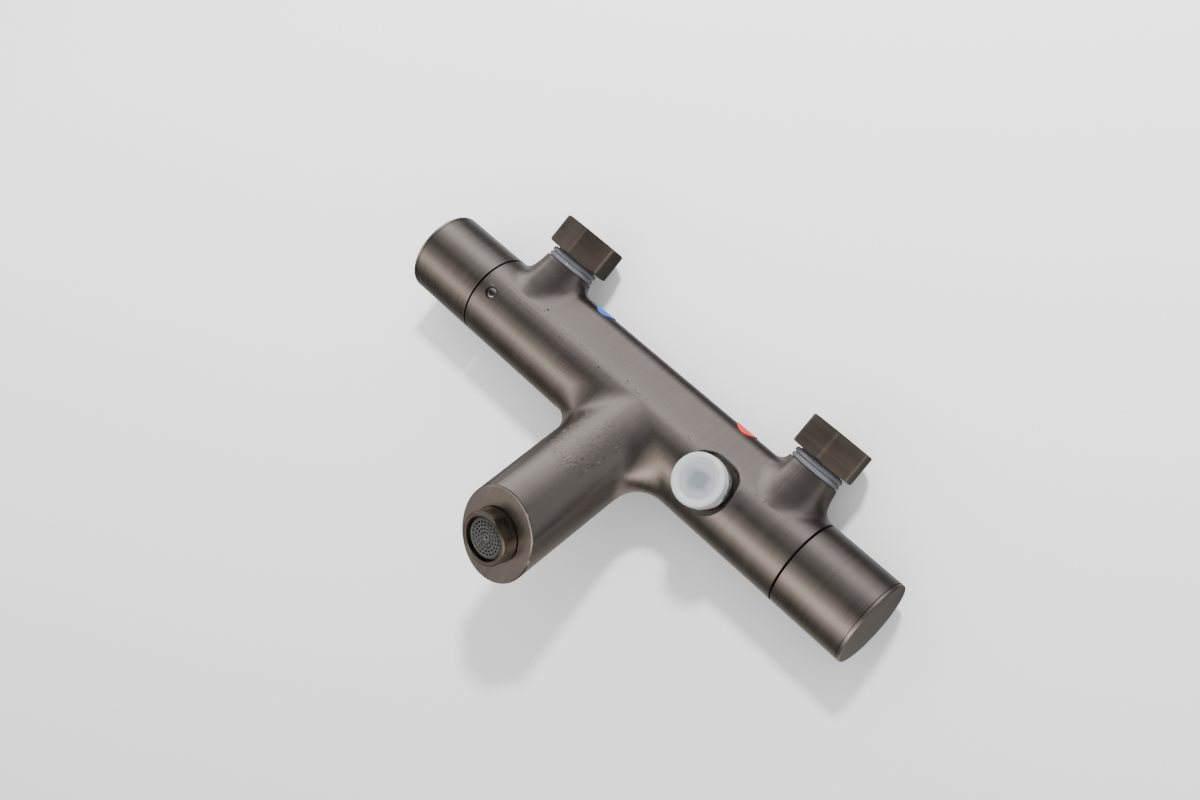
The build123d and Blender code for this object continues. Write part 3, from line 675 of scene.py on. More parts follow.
@dataclass
class Shop:
    """Keeps the shared effects and fits each finished piece to the frame."""

    effects: Effects
    made: list[str] = field(default_factory=list)

    def paint(self, obj: bpy.types.Object, finish: Finish) -> None:
        """Gives an object one finish.

        Args:
            obj: The object.
            finish: The finish.
        """
        if finish.name not in bpy.data.materials:
            finish.material(self.effects)
        obj.data.materials.clear()
        obj.data.materials.append(bpy.data.materials[finish.name])

    def fit(self, obj: bpy.types.Object, finish: Finish, body: str, slot: str, *nodes: str) -> None:
        """Dresses a piece, hangs it on the body it moves with and hides the CAD nodes it stands for.

        Args:
            obj: The finished piece.
            finish: Its finish.
            body: The body it moves with.
            slot: The record's slot it stands for; not used.
            nodes: The CAD nodes it stands for.
        """
        self.paint(obj, finish)
        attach(obj, body)
        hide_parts(*nodes)
        self.made.append(obj.name)
        log.info("built %s for %s, %d faces", obj.name, ", ".join(nodes), len(obj.data.polygons))

    def copy_of(self, node: str, name: str) -> bpy.types.Object:
        """Copies a CAD node's mesh and merges it.

        Args:
            node: The node.
            name: Name of the copy.

        Returns:
            The copy, in its place.
        """
        obj = bpy.data.objects.new(name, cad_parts[node].data.copy())
        bpy.context.scene.collection.objects.link(obj)
        with editing(obj):
            bpy.ops.mesh.select_all(action="SELECT")
            bpy.ops.mesh.remove_doubles(threshold=WELD)
            bpy.ops.mesh.dissolve_limited(angle_limit=FLAT_ANGLE)
        return obj


@dataclass(frozen=True)
class Rubbing:
    """A place of the casting that is rubbed smooth, around a straight line along the bar."""

    x: float
    y: float
    z: float
    inner: float
    outer: float
    strokes: int
    half_length: float = 0.0

    def share(self, at: Vector) -> float:
        """Says how strongly a point is rubbed.

        Args:
            at: The point.

        Returns:
            1 near the line, falling to 0 at the edge of what is rubbed.
        """
        aside = max(0.0, abs(at.x - self.x) - self.half_length)
        away = math.sqrt(aside * aside + (at.y - self.y) ** 2 + (at.z - self.z) ** 2)
        if away >= self.outer:
            return 0.0
        level = min(1.0, (self.outer - away) / (self.outer - self.inner))
        return level * level * (3.0 - 2.0 * level)


@dataclass
class Casting:
    """The body: bar, spout, rear web and necks in one blended form."""

    edge: float = 0.3 * MM
    rubbings: tuple[Rubbing, ...] = (
        Rubbing(0.0, 12.6 * MM, -15.7 * MM, 3.0 * MM, 9.0 * MM, 60, half_length=58.0 * MM),
        Rubbing(0.0, 12.6 * MM, 15.7 * MM, 3.0 * MM, 9.0 * MM, 60, half_length=58.0 * MM),
        Rubbing(INLET_X, 18.0 * MM, 0.0, 15.0 * MM, 21.5 * MM, 70),
        Rubbing(-INLET_X, 18.0 * MM, 0.0, 15.0 * MM, 21.5 * MM, 70),
        Rubbing(0.0, -10.0 * MM, -14.0 * MM, 22.0 * MM, 34.0 * MM, 100))
    wall: float = 19.0 * MM
    spout_wall: float = 18.5 * MM
    neck_wall: float = 11.3 * MM
    neck_low: float = 5.0 * MM
    neck_top: float = 29.5 * MM
    mesh_size: float = 1.4 * MM
    halvings: int = 8
    even_angle: float = math.radians(6.0)
    most_triangles: int = 170_000

    def outside(self, at: Vector) -> bool:
        """Says whether a point of the casting is on its outside, and not in a bore.

        Args:
            at: The point.

        Returns:
            Yes or no.
        """
        if at.y > self.neck_top or math.hypot(at.y, at.z) < self.wall:
            return False
        if at.y > self.neck_low and math.hypot(abs(at.x) - INLET_X, at.z) < self.neck_wall:
            return False
        along = -at.y * math.cos(SPOUT_DROP) - at.z * math.sin(SPOUT_DROP)
        across = at.y * math.sin(SPOUT_DROP) - at.z * math.cos(SPOUT_DROP)
        return along < 0.0 or math.hypot(at.x, across) > self.spout_wall

    def share(self, at: Vector) -> float:
        """Says how strongly a point of the casting is rubbed.

        Args:
            at: The point.

        Returns:
            The share from 0 to 1.
        """
        level = max(rubbing.share(at) for rubbing in self.rubbings)
        return level if level > 0.0 and self.outside(at) else 0.0

    def split_faces(self, body: bpy.types.Object) -> None:
        """Splits the faces that reach into what is rubbed into triangles, and leaves them selected.

        Args:
            body: The casting, in edit mode.
        """
        bpy.ops.mesh.select_mode(type="FACE")
        bpy.ops.mesh.select_all(action="DESELECT")
        mesh = bmesh.from_edit_mesh(body.data)
        inside = {vert.index for vert in mesh.verts if self.share(vert.co) > 0.0}
        for face in mesh.faces:
            if any(vert.index in inside for vert in face.verts):
                face.select_set(True)
        bmesh.update_edit_mesh(body.data)
        bpy.ops.mesh.quads_convert_to_tris()

    def refine(self, body: bpy.types.Object) -> None:
        """Halves the long edges in what is rubbed until they are short.

        Args:
            body: The casting.
        """
        with editing(body):
            self.split_faces(body)
            for _ in range(self.halvings):
                bpy.ops.mesh.select_mode(type="EDGE")
                bpy.ops.mesh.select_all(action="DESELECT")
                mesh = bmesh.from_edit_mesh(body.data)
                for edge in mesh.edges:
                    a, b = edge.verts[0].co, edge.verts[1].co
                    if (b - a).length > self.mesh_size and any(
                            self.share(a.lerp(b, step / 4.0)) > 0.0 for step in range(5)):
                        edge.select_set(True)
                bmesh.update_edit_mesh(body.data)
                bpy.ops.mesh.subdivide(number_cuts=1)
                self.split_faces(body)
            bpy.ops.mesh.beautify_fill(angle_limit=self.even_angle)

    def rub(self, body: bpy.types.Object, rubbing: Rubbing) -> None:
        """Rubs one place smooth.

        Args:
            body: The casting.
            rubbing: The place.
        """
        group = body.vertex_groups.new(name="rubbed")
        for vert in body.data.vertices:
            level = rubbing.share(vert.co)
            if level > 0.0 and self.outside(vert.co):
                group.add([vert.index], level, "REPLACE")
        finish_modifier(body, "SMOOTH", factor=0.5, iterations=rubbing.strokes, vertex_group="rubbed")
        body.vertex_groups.clear()

    def build(self, shop: Shop) -> None:
        """Softens the casting's edges, rubs its roots smooth and dresses it.

        Args:
            shop: The shop that fits it.
        """
        body = shop.copy_of("mixer_body", "casting")
        soften(body, self.edge)
        self.refine(body)
        for rubbing in self.rubbings:
            self.rub(body, rubbing)
        triangles = sum(len(face.vertices) - 2 for face in body.data.polygons)
        log.info("casting has %d triangles before thinning", triangles)
        if triangles > self.most_triangles:
            finish_modifier(body, "DECIMATE", ratio=self.most_triangles / triangles)
        settle(body, Matrix.Identity(4))
        shop.fit(body, BODY_METAL, "mixer", "gunmetal", "mixer_body")


@dataclass
class SetScrew:
    """Socket screw that holds the thermostatic cartridge, down its well."""

    at_x: float = 88.3 * MM
    lean: float = math.radians(3.5)
    radius: float = 2.5 * MM
    top: float = -0.8 * MM
    tip: float = -6.2 * MM
    socket: float = 1.3 * MM
    socket_depth: float = 2.0 * MM
    bevel: float = 0.95 * MM
    bevel_steps: int = 6
    sides: int = 64
    socket_sides: int = 6

    def build(self, shop: Shop) -> None:
        """Turns the screw, sinks its socket and fits it.

        Args:
            shop: The shop that fits it.
        """
        screw = add_cylinder("socket_screw", self.radius, self.tip, self.top, self.sides)
        with editing(screw):
            pick(screw, "EDGE", lambda mid, run: abs(mid.z - self.top) < WELD and abs(run.z) < LEVEL)
            bpy.ops.mesh.bevel(offset=self.bevel, segments=self.bevel_steps, affect="EDGES")
        key = add_cylinder("key", self.socket / CORNER_SHARE,
                           self.top - self.socket_depth, self.top + MM, self.socket_sides)
        cut(screw, key)
        out = Vector((0.0, math.sin(self.lean), -math.cos(self.lean)))
        settle(screw, standing_on(ACROSS * self.at_x + out * BAR_R, out, ACROSS))
        shop.fit(screw, BRIGHT, "mixer", "bright_metal", "set_screw")


@dataclass
class EndKnob:
    """Knob on one end of the bar with its end cap."""

    side: int
    body: str
    start: float = 96.6 * MM
    end: float = 131.6 * MM
    web: float = 126.0 * MM
    wall_r: float = 16.5 * MM
    hub_r: float = 8.0 * MM
    hub_start: float = 108.0 * MM
    bore_r: float = 4.05 * MM
    bore_end: float = 124.3 * MM
    screw_r: float = 1.8 * MM
    seat: float = 126.2 * MM
    plug_r: float = 6.5 * MM
    plug_start: float = 128.4 * MM
    cap_start: float = 131.85 * MM
    cap_end: float = 133.4 * MM
    cap_bevel: float = 0.6 * MM
    edge: float = 0.18 * MM

    def place(self) -> Matrix:
        """Place with Z along the bar, outwards.

        Returns:
            The place.
        """
        return standing_on(Vector(), ACROSS * self.side, Vector((0.0, 1.0, 0.0)))

    def knob(self) -> bpy.types.Object:
        """Turns the knob's wall, web and hub.

        Returns:
            The knob in its place.
        """
        knob = turn_profile(f"{self.body}_knob_shell", (
            (BAR_R, self.start), (BAR_R, self.end), (self.plug_r + SLIP, self.end),
            (self.plug_r + SLIP, self.seat), (self.screw_r, self.seat), (self.screw_r, self.bore_end),
            (self.bore_r, self.bore_end), (self.bore_r, self.hub_start), (self.hub_r, self.hub_start),
            (self.hub_r, self.web), (self.wall_r, self.web), (self.wall_r, self.start)))
        soften(knob, self.edge)
        settle(knob, self.place())
        return knob

    def cap(self) -> bpy.types.Object:
        """Turns the end cap with its bevelled rim and plug.

        Returns:
            The cap in its place.
        """
        cap = add_cylinder(f"{self.body}_end_disc", BAR_R, self.cap_start, self.cap_end, ROUND)
        with editing(cap):
            pick(cap, "EDGE", lambda mid, run: abs(mid.z - self.cap_end) < WELD and abs(run.z) < LEVEL)
            bpy.ops.mesh.bevel(offset=self.cap_bevel, segments=3, affect="EDGES")
            pick(cap, "FACE", lambda mid, out: out.z < -STEEP)
            bpy.ops.mesh.inset(thickness=BAR_R - self.plug_r)
            bpy.ops.mesh.extrude_region_move(
                TRANSFORM_OT_translate={"value": (0.0, 0.0, self.plug_start - self.cap_start)})
        settle(cap, self.place())
        return cap

    def build(self, shop: Shop) -> None:
        """Builds the knob and its cap.

        Args:
            shop: The shop that fits them.
        """
        knob = self.knob()
        if self.body == "temperature":
            SafetyButton().open_in(knob)
        shop.fit(knob, KNOB_METAL, self.body, "gunmetal", f"{self.body}_knob")
        shop.fit(self.cap(), END_METAL_PAINTED_REFLECTION, self.body, "gunmetal", f"{self.body}_cap")


@dataclass
class SafetyButton:
    """Button in the temperature knob."""

    at_x: float = 113.0 * MM
    length: float = 10.2 * MM
    width: float = 7.2 * MM
    low: float = 15.0 * MM
    high: float = 22.0 * MM
    edge: float = 0.25 * MM
    sides: int = 48

    def open_in(self, knob: bpy.types.Object) -> None:
        """Cuts the button's opening through a knob's wall.

        Args:
            knob: The knob.
        """
        end = (self.length - self.width) / 2.0
        tool = add_cylinder("opening", self.width / 2.0, self.low, self.high, self.sides)
        with editing(tool):
            for side in (1.0, -1.0):
                pick_verts(tool, lambda at: at.x * side > WELD)
                bpy.ops.transform.translate(value=(side * end, 0.0, 0.0))
        tool.matrix_world = Matrix.Translation(ACROSS * self.at_x)
        cut(knob, tool)

    def build(self, shop: Shop) -> None:
        """Softens the button and fits it.

        Args:
            shop: The shop that fits it.
        """
        button = shop.copy_of("safety_button", "comfort_button")
        soften(button, self.edge, 3)
        settle(button, Matrix.Identity(4))
        shop.fit(button, KNOB_METAL, "button", "gunmetal", "safety_button")


@dataclass
class WallUnion:
    """Union nut and two-ribbed sleeve of one inlet."""

    side: int
    name: str
    corner_turn: float
    low: float = 36.7 * MM
    high: float = 51.0 * MM
    flats: float = 28.3 * MM
    ridge_r: float = 2.4 * MM
    ridge_steps: int = 6
    first_corner: float = math.radians(90.0)
    chamfer_h: float = 0.9 * MM
    chamfer_r: float = 1.6 * MM
    bore_r: float = 8.6 * MM
    shoulder: float = 3.8 * MM
    relief_r: float = 11.0 * MM
    relief_end: float = 45.15 * MM
    thread_r: float = 10.48 * MM
    thread_root_r: float = 11.35 * MM
    pitch: float = 1.814 * MM
    mouth: float = 0.8 * MM
    edge: float = 0.35 * MM
    neck_end: float = 31.4 * MM
    rib_r: float = 12.0 * MM
    rib_t: float = 2.35 * MM
    rib_gap: float = 0.16 * MM
    rib_fullness: float = 0.45
    core_r: float = 11.1 * MM
    collar_r: float = 10.0 * MM
    sleeve_bore_r: float = 8.55 * MM

    def place(self) -> Matrix:
        """Place with Z towards the wall.

        Returns:
            The place.
        """
        return standing_on(ACROSS * self.side * INLET_X, Vector((0.0, 1.0, 0.0)), ACROSS)

    def nut(self) -> bpy.types.Object:
        """Models the nut: a hexagon with rounded ridges, turned ends, shoulder and thread.

        Returns:
            The nut in its place.
        """
        corner = self.flats / 2.0 / CORNER_SHARE
        nut = add_cylinder(f"hex_nut_{self.name}", corner, self.low, self.high, 6)
        with editing(nut):
            pick(nut, "EDGE", lambda mid, run: abs(run.z) > STEEP)
            bpy.ops.mesh.bevel(offset=self.ridge_r * math.tan(math.radians(30.0)),
                               segments=self.ridge_steps, affect="EDGES")
            bpy.ops.mesh.select_all(action="SELECT")
            bpy.ops.transform.rotate(value=self.first_corner - self.corner_turn, orient_axis="Z",
                                     center_override=(0.0, 0.0, 0.0))
        drum = turn_profile("drum", (
            (MM, self.low), (corner - self.chamfer_r, self.low), (corner, self.low + self.chamfer_h),
            (corner, self.high - self.chamfer_h), (corner - self.chamfer_r, self.high), (MM, self.high)))
        cut(nut, drum, "INTERSECT")
        bore = turn_profile("bore", (
            (0.5 * MM, self.low - MM), (self.bore_r, self.low - MM), (self.bore_r, self.low + self.shoulder),
            (self.relief_r, self.low + self.shoulder), (self.relief_r, self.relief_end),
            (self.thread_r, self.relief_end), (self.thread_r, self.high - self.mouth),
            (self.thread_r + self.mouth, self.high), (self.thread_r + self.mouth, self.high + MM),
            (0.5 * MM, self.high + MM)))
        cut(nut, bore)
        tap = screw_thread("tap", self.thread_root_r, self.thread_r - SLIP, self.pitch, self.relief_end - SLIP,
                           self.high + MM / 2.0)
        cut(nut, tap)
        soften(nut, self.edge, 3)
        settle(nut, self.place())
        return nut

    def sleeve(self) -> bpy.types.Object:
        """Turns the two-ribbed sleeve.

        Returns:
            The sleeve in its place.
        """
        profile = [(self.sleeve_bore_r, self.neck_end)]
        for rib in range(2):
            low = self.neck_end + rib * self.rib_t
            top = low + self.rib_t
            profile.append((self.core_r, low))
            profile.append((self.core_r, low + self.rib_gap))
            for step in range(self.ridge_steps + 1):
                angle = math.pi * step / self.ridge_steps
                rise = math.sin(angle) ** self.rib_fullness
                along = (1.0 - math.cos(angle)) / 2.0
                profile.append((self.core_r + (self.rib_r - self.core_r) * rise + WELD,
                                low + self.rib_gap + (self.rib_t - 2.0 * self.rib_gap) * along))
            profile.append((self.core_r, top - self.rib_gap))
        end = self.neck_end + 2.0 * self.rib_t
        profile += [(self.core_r, end), (self.collar_r, end), (self.collar_r, self.low - 2.0 * SLIP),
                    (self.sleeve_bore_r, self.low - 2.0 * SLIP)]
        sleeve = turn_profile(f"ribbed_sleeve_{self.name}", profile)
        settle(sleeve, self.place())
        return sleeve

    def build(self, shop: Shop) -> None:
        """Builds nut and sleeve.

        Args:
            shop: The shop that fits them.
        """
        shop.fit(self.nut(), NUT_METAL, f"nut_{self.name}", "nut_gunmetal", f"union_nut_{self.name}")
        shop.fit(self.sleeve(), GREY_PLASTIC, "mixer", "grey_polymer", f"seal_ring_{self.name}")


@dataclass
class ShowerOutlet:
    """Threaded outlet in its pocket, under a pushed-on cap."""

    base: float = 15.05 * MM
    end: float = 28.6 * MM
    crest: float = 10.48 * MM
    root: float = 9.38 * MM
    pitch: float = 1.814 * MM
    bore: float = 7.0 * MM
    spigot_r: float = 8.0 * MM
    spigot_start: float = 13.25 * MM
    cap_r: float = 11.55 * MM
    cap_top: float = 30.4 * MM
    skirt: float = 6.0 * MM
    cap_bore: float = 10.53 * MM
    cap_inside: float = 28.9 * MM
    rim: float = 2.0 * MM
    dish: float = 0.9 * MM
    dish_slope: float = 1.2 * MM
    cap_round: float = 1.0 * MM
    grooves: int = 3
    groove_step: float = 1.25 * MM
    groove_w: float = 0.4 * MM
    groove_d: float = 0.25 * MM
    nib_r: float = 0.3 * MM
    nib_at: tuple[float, float] = (-4.6 * MM, 1.4 * MM)
    edge: float = 0.3 * MM

    def place(self) -> Matrix:
        """Place with Z out of the outlet.

        Returns:
            The place.
        """
        return standing_on(ACROSS * OUTLET_X, Vector((0.0, 0.0, -1.0)), ACROSS)

    def nipple(self) -> bpy.types.Object:
        """Models the outlet with its screwed thread.

        Returns:
            The outlet in its place.
        """
        nipple = screw_thread("threaded_outlet", self.crest, self.root, self.pitch, self.base, self.end)
        spigot = add_cylinder("spigot", self.spigot_r, self.spigot_start, self.base + MM)
        cut(nipple, spigot, "UNION")
        bore = add_cylinder("bore", self.bore, self.spigot_start - MM, self.end + MM)
        cut(nipple, bore)
        settle(nipple, self.place())
        return nipple

    def cap(self) -> bpy.types.Object:
        """Models the cap: rounded rim, dished end, hollow skirt and the mould's nib.

        Returns:
            The cap in its place.
        """
        low = self.cap_top - self.skirt
        cap = add_cylinder("dust_cap", self.cap_r, low, self.cap_top, ROUND)
        with editing(cap):
            pick(cap, "FACE", lambda mid, out: out.z > STEEP)
            bpy.ops.mesh.inset(thickness=self.rim)
            bpy.ops.mesh.inset(thickness=self.dish_slope, depth=-self.dish)
            pick(cap, "FACE", lambda mid, out: out.z < -STEEP)
            bpy.ops.mesh.inset(thickness=self.cap_r - self.cap_bore)
            bpy.ops.mesh.extrude_region_move(
                TRANSFORM_OT_translate={"value": (0.0, 0.0, self.cap_inside - low)})
            pick(cap, "EDGE", lambda mid, run: abs(mid.z - self.cap_top) < WELD and abs(run.z) < LEVEL
                 and mid.xy.length > self.cap_r - self.rim / 2.0)
            bpy.ops.mesh.bevel(offset=self.cap_round, segments=6, affect="EDGES")
        soften(cap, self.edge, 3)
        for number in range(self.grooves):
            start = low + self.groove_w + number * self.groove_step
            end = start + self.groove_w
            deep, past = self.cap_r - self.groove_d, self.cap_r + MM
            cut(cap, turn_profile("groove", ((deep, start), (past, start), (past, end), (deep, end))))
        cut(cap, add_piece("nib", bpy.ops.mesh.primitive_uv_sphere_add, segments=16, ring_count=8,
                           radius=self.nib_r, location=(*self.nib_at, self.cap_top - self.dish)), "UNION")
        settle(cap, self.place())
        return cap

    def build(self, shop: Shop) -> None:
        """Builds the outlet and its cap.

        Args:
            shop: The shop that fits them.
        """
        shop.fit(self.nipple(), THREAD_METAL, "mixer", "nut_gunmetal", "outlet_nipple")
        shop.fit(self.cap(), MILKY, "cap", "pale_polymer", "outlet_cover")


@dataclass
class Aerator:
    """Aerator in the spout's face: housing with wrench flats, and its perforated insert."""

    spout_reach: float = 83.1 * MM
    heel: float = 0.8 * MM
    radius: float = 12.0 * MM
    reach: float = 7.9 * MM
    depth: float = 8.0 * MM
    bore: float = 9.9 * MM
    way_r: float = 8.7 * MM
    shelf: float = 1.0 * MM
    lip: float = 0.5 * MM
    flats: float = 21.8 * MM
    flat_l: float = 5.4 * MM
    flats_turn: float = math.radians(62.0)
    block_t: float = 6.0 * MM
    block_w: float = 30.0 * MM
    edge: float = 0.18 * MM
    insert_inset: float = 1.5 * MM
    insert_step: float = 2.2 * MM
    insert_rim: float = 1.1 * MM
    plate: float = 1.6 * MM
    plate_way_r: float = 8.0 * MM
    rows: tuple[tuple[float, int], ...] = ((2.6, 9), (4.15, 14), (5.7, 19), (7.25, 24))
    window: float = 1.0 * MM
    ridge_w: float = 0.42 * MM
    ridge_h: float = 0.4 * MM
    eye_r: float = 0.6 * MM
    boss_r: float = 1.2 * MM
    rim_slope: float = 0.3 * MM
    rim_drop: float = 0.1 * MM
    sides: int = 120

    def place(self) -> Matrix:
        """Place with Z out of the spout's face.

        Returns:
            The place.
        """
        along = Vector((0.0, -math.cos(SPOUT_DROP), -math.sin(SPOUT_DROP)))
        out = Vector((0.0, -math.cos(FACE_TILT), -math.sin(FACE_TILT)))
        return standing_on(along * self.spout_reach - out.cross(ACROSS) * self.heel, out, ACROSS)

    def housing(self) -> bpy.types.Object:
        """Turns the housing and cuts its two wrench flats.

        Returns:
            The housing in its place.
        """
        ring = turn_profile("aerator_ring", (
            (self.way_r, -self.depth), (self.radius, -self.depth), (self.radius, self.reach - self.lip),
            (self.radius - self.lip, self.reach), (self.bore, self.reach), (self.bore, self.shelf),
            (self.way_r, self.shelf)))
        soften(ring, self.edge)
        for side in (1.0, -1.0):
            tool = add_block("flat", (self.block_t, self.block_w, 2.0 * self.flat_l),
                             (side * (self.flats + self.block_t) / 2.0, 0.0, self.reach))
            tool.matrix_world = Matrix.Rotation(self.flats_turn, 4, "Z")
            bpy.context.view_layer.update()
            cut(ring, tool)
        settle(ring, self.place())
        return ring

    def insert(self) -> bpy.types.Object:
        """Turns the insert with its ring ridges and opens its windows row by row.

        Returns:
            The insert in its place.
        """
        top = self.reach - self.insert_inset
        base = self.shelf + SLIP
        outer = self.bore - SLIP
        rim = self.bore - self.insert_rim
        profile = [(self.eye_r, top - self.ridge_h), (self.boss_r, top - self.ridge_h / 2.0)]
        aside = (self.window + self.ridge_w) / 2.0
        edges = [self.rows[0][0] * MM - aside, *(row * MM + aside for row, _ in self.rows)]
        for middle in edges:
            low, high = middle - self.ridge_w / 2.0, middle + self.ridge_w / 2.0
            profile += [(low, top - self.ridge_h), (low, top), (high, top), (high, top - self.ridge_h)]
        profile += [(rim - self.rim_slope, top - self.ridge_h), (rim, top - self.rim_drop),
                    (rim, top - self.insert_step), (outer, top - self.insert_step), (outer, base),
                    (self.plate_way_r, base), (self.plate_way_r, top - self.plate),
                    (self.eye_r, top - self.plate)]
        plate = turn_profile("perforated_insert", profile, self.sides)
        for row, count in self.rows:
            tool = add_block("window", (self.window, self.window, 4.0 * self.plate), (row * MM, 0.0, top))
            with editing(tool):
                for _ in range(1, count):
                    bpy.ops.mesh.select_all(action="DESELECT")
                    mesh = bmesh.from_edit_mesh(tool.data)
                    mesh.faces.ensure_lookup_table()
                    for face in mesh.faces[-6:]:
                        face.select_set(True)
                    bmesh.update_edit_mesh(tool.data)
                    bpy.ops.mesh.duplicate()
                    bpy.ops.transform.rotate(value=2.0 * math.pi / count, orient_axis="Z",
                                             center_override=(0.0, 0.0, 0.0))
            cut(plate, tool)
        settle(plate, self.place())
        return plate

    def build(self, shop: Shop) -> None:
        """Builds housing and insert.

        Args:
            shop: The shop that fits them.
        """
        shop.fit(self.housing(), AERATOR_METAL, "mixer", "nut_gunmetal", "aerator_housing")
        shop.fit(self.insert(), INSERT_PLASTIC, "mixer", "grey_polymer", "aerator_insert")


@dataclass
class Badges:
    """Round enamel badges that mark the hot and the cold side."""

    edge: float = 0.1 * MM

    def build(self, shop: Shop) -> None:
        """Softens and fits both badges.

        Args:
            shop: The shop that fits them.
        """
        for name, finish, slot in (("cold", BLUE, "badge_blue"), ("hot", RED, "badge_red")):
            badge = shop.copy_of(f"badge_{name}", f"enamel_{name}")
            soften(badge, self.edge)
            settle(badge, Matrix.Identity(4))
            shop.fit(badge, finish, "mixer", slot, f"badge_{name}")


NODE_FINISHES = {
    "mixer_body": BODY_METAL, "set_screw": BRIGHT, "thermo_housing": DARK_PLASTIC, "thermo_spindle": BRASS,
    "wax_element": BRASS, "shuttle": GREY_PLASTIC, "return_spring": WIRE, "stop_ring": GREY_PLASTIC,
    "temperature_knob": KNOB_METAL, "temperature_cap": KNOB_METAL, "temperature_screw": BRIGHT,
    "safety_button": KNOB_METAL, "button_spring": WIRE, "flow_housing": DARK_PLASTIC,
    "flow_retainer": BRASS, "fixed_disc": CERAMIC, "moving_disc": CERAMIC, "flow_spindle": BRASS,
    "flow_knob": KNOB_METAL, "flow_cap": KNOB_METAL, "flow_screw": BRIGHT, "mixing_tube": GREY_PLASTIC,
    "outlet_nipple": NUT_METAL, "outlet_valve": GREY_PLASTIC, "outlet_cover": MILKY,
    "aerator_housing": AERATOR_METAL, "aerator_insert": INSERT_PLASTIC, "aerator_washer": RUBBER,
    "badge_cold": BLUE, "badge_hot": RED, "thermo_o_ring_1": RUBBER, "thermo_o_ring_2": RUBBER,
    "thermo_o_ring_3": RUBBER, "flow_o_ring_1": RUBBER, "flow_o_ring_2": RUBBER,
    "union_nut_cold": NUT_METAL, "union_nut_hot": NUT_METAL, "inlet_tube_cold": BRASS,
    "inlet_tube_hot": BRASS, "screen_cold": RUBBER, "screen_hot": RUBBER,
    "check_valve_cold": GREY_PLASTIC, "check_valve_hot": GREY_PLASTIC, "seal_ring_cold": GREY_PLASTIC,
    "seal_ring_hot": GREY_PLASTIC,
}


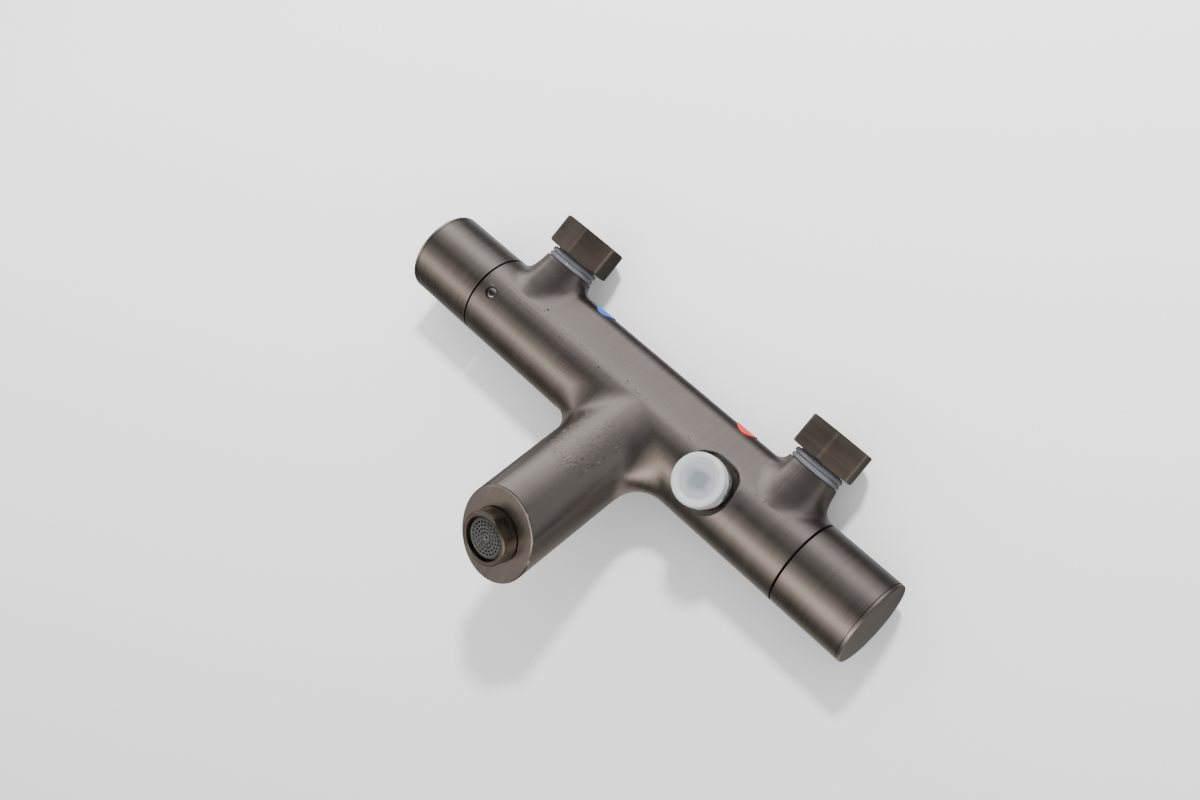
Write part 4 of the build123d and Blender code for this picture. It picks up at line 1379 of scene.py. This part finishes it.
@dataclass
class Studio:
    """Pale table, soft light and the camera at the photograph's place."""

    table_z: float = 20.3 * MM
    table_size: float = 6.0
    table_color: tuple[float, float, float] = (0.83, 0.825, 0.82)
    # Painted shade on the table: along X plus Y its colour falls over this distance, down to the share below.
    table_far: float = 0.35
    table_painted_shade: float = 0.62
    table_rough: float = 0.75
    table_gloss: float = 0.1
    camera_at: tuple[float, float, float] = (-0.23157071, 0.04549503, -0.54755235)
    camera_turn: tuple[float, float, float] = (-0.56243499, -0.08811835, -2.39016979)
    focal_px: float = 1358.048
    image_w_px: float = 1200.0
    sensor_mm: float = 36.0
    key_from: tuple[float, float, float] = (0.11, 0.74, -0.96)
    key_size: float = 0.12
    key_power: float = 26.0
    surround: float = 2.05
    surround_color: tuple[float, float, float] = (0.99, 0.99, 1.0)
    side_blend: tuple[float, float] = (-0.3, 0.3)
    side_span: tuple[float, float] = (-0.3, 0.7)
    warm: tuple[float, float, float] = (1.0, 0.95, 0.87)
    cool: tuple[float, float, float] = (0.98, 0.98, 1.0)
    shine: float = 2.2
    bands: tuple[tuple[float, float], ...] = (
        (-180.0, 0.08), (-155.0, 0.28), (-135.0, 0.16), (-112.0, 0.04), (-92.0, 0.06), (-70.0, 0.27),
        (-47.0, 1.0), (-22.0, 0.25), (3.0, 0.03), (28.0, 0.16), (62.0, 0.62), (86.0, 0.27), (110.0, 0.04),
        (130.0, 0.07), (155.0, 0.28), (180.0, 0.08))
    spout_side: tuple[float, float] = (1.15, 0.60)
    wall_side: tuple[float, float] = (0.35, 1.35)

    def camera(self) -> None:
        """Creates the camera from its place and its turn."""
        data = bpy.data.cameras.new("camera")
        data.sensor_width = self.sensor_mm
        data.lens = self.focal_px * self.sensor_mm / self.image_w_px
        data.clip_start = 0.01
        obj = bpy.data.objects.new("camera", data)
        bpy.context.scene.collection.objects.link(obj)
        turn = Vector(self.camera_turn)
        rows = Quaternion(turn.normalized(), turn.length).to_matrix()
        right, down, forward = rows
        basis = Matrix((right, -down, -forward)).transposed()
        obj.matrix_world = Matrix.Translation(self.camera_at) @ basis.to_4x4()
        bpy.context.scene.camera = obj

    def table(self) -> None:
        """Adds the table that the mixer lies on, seen from its upper side only, with painted shade that darkens it
        towards -X and -Y.
        """
        bpy.ops.mesh.primitive_plane_add(size=self.table_size, location=(0.0, 0.0, self.table_z))
        top = bpy.context.object
        top.name = "table"
        bpy.ops.object.mode_set(mode="EDIT")
        bpy.ops.mesh.flip_normals()
        bpy.ops.object.mode_set(mode="OBJECT")
        bpy.ops.object.transform_apply(location=True, rotation=True, scale=True)
        mat = bpy.data.materials.new("table_top")
        mat.use_nodes = True
        tree = mat.node_tree
        shader = tree.nodes["Principled BSDF"]
        shader.inputs["Roughness"].default_value = self.table_rough
        shader.inputs["Specular IOR Level"].default_value = self.table_gloss
        place = add_node(tree, "TexCoord").outputs["Object"]
        split = add_node(tree, "SeparateXYZ", {"Vector": place})
        # Painted shade: the table's colour falls off towards -X and -Y.
        away = compute(tree, "ADD", split.outputs["X"], split.outputs["Y"])
        fade = map_range(tree, away, -self.table_far, self.table_far, self.table_painted_shade, 1.0)
        tree.links.new(mix_colors(tree, 1.0, (*self.table_color, 1.0), fade, "MULTIPLY"),
                       shader.inputs["Base Color"])
        unseen = compute(tree, "MAXIMUM", add_node(tree, "NewGeometry").outputs["Backfacing"],
                         add_node(tree, "LightPath").outputs["Is Glossy Ray"])
        clear = add_node(tree, "BsdfTransparent")
        side = add_node(tree, "MixShader", {"Fac": unseen, 1: shader.outputs["BSDF"], 2: clear.outputs["BSDF"]})
        tree.links.new(side.outputs["Shader"], tree.nodes["Material Output"].inputs["Surface"])
        top.data.materials.append(mat)

    def lamp(self, name: str, at: tuple[float, float, float], size: float, power: float) -> None:
        """Adds a square soft light that faces the mixer.

        Args:
            name: Name of the light.
            at: Its place.
            size: Its side.
            power: Its power in watts.
        """
        data = bpy.data.lights.new(name, "AREA")
        data.size = size
        data.energy = power
        obj = bpy.data.objects.new(name, data)
        bpy.context.scene.collection.objects.link(obj)
        aim = -Vector(at)
        obj.rotation_euler = aim.to_track_quat("-Z", "Y").to_euler()
        obj.location = at
        obj.visible_glossy = False

    def world(self) -> None:
        """Sets an even pale surround, and soft light and dark areas for what shines.

        The areas lie side by side around the bar: a warm light on the spout's side, a cooler one
        on the wall's side, and dark towards the camera and low over the table.
        """
        scene = bpy.context.scene
        scene.world = bpy.data.worlds.new("surround")
        scene.world.use_nodes = True
        tree = scene.world.node_tree
        back = tree.nodes["Background"]
        back.inputs["Color"].default_value = (*self.surround_color, 1.0)
        back.inputs["Strength"].default_value = self.surround
        place = add_node(tree, "TexCoord").outputs["Generated"]
        split = add_node(tree, "SeparateXYZ", {"Vector": place})
        along, out, rise = split.outputs["X"], split.outputs["Y"], split.outputs["Z"]
        around = compute(tree, "ARCTAN2", out, compute(tree, "MULTIPLY", rise, -1.0))
        ramp = add_node(tree, "ValToRGB", {"Fac": map_range(tree, around, -math.pi, math.pi, 0.0, 1.0)})
        ramp.color_ramp.interpolation = "EASE"
        stops = ramp.color_ramp.elements
        for number, (degrees, level) in enumerate(self.bands):
            at = (degrees + 180.0) / 360.0
            stop = stops[number] if number < 2 else stops.new(at)
            stop.position = at
            stop.color = (level, level, level, 1.0)
        side = map_range(tree, out, *self.side_blend, 0.0, 1.0)
        shares = add_node(tree, "Mix", {"Factor": side,
                                        "A": map_range(tree, along, *self.side_span, *self.spout_side),
                                        "B": map_range(tree, along, *self.side_span, *self.wall_side)})
        level = compute(tree, "MULTIPLY", ramp.outputs["Color"], shares.outputs["Result"])
        shine = add_node(tree, "Background", {
            "Color": mix_colors(tree, side, (*self.warm, 1.0), (*self.cool, 1.0)),
            "Strength": compute(tree, "MULTIPLY", level, self.shine)})
        path = add_node(tree, "LightPath")
        mix = add_node(tree, "MixShader", {"Fac": path.outputs["Is Glossy Ray"],
                                           1: back.outputs["Background"], 2: shine.outputs["Background"]})
        tree.links.new(mix.outputs["Shader"], tree.nodes["World Output"].inputs["Surface"])

    def build(self) -> None:
        """Builds the whole studio."""
        self.table()
        self.camera()
        self.lamp("key_light", self.key_from, self.key_size, self.key_power)
        self.world()


def main() -> None:
    """Builds the studio and the mixer, and reports each piece."""
    logging.basicConfig(level=logging.INFO, format="%(name)s: %(message)s")
    bpy.ops.object.select_all(action="DESELECT")
    shop = Shop(Effects())
    Studio().build()
    for node, finish in NODE_FINISHES.items():
        shop.paint(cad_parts[node], finish)
    parts = (Casting(), SetScrew(), EndKnob(1, "temperature"), EndKnob(-1, "flow"), SafetyButton(),
             WallUnion(1, "cold", math.radians(38.0)), WallUnion(-1, "hot", math.radians(37.0)),
             ShowerOutlet(), Aerator(), Badges())
    for part in parts:
        part.build(shop)
    log.info("made %d pieces", len(shop.made))


if __name__ == "__main__":
    main()
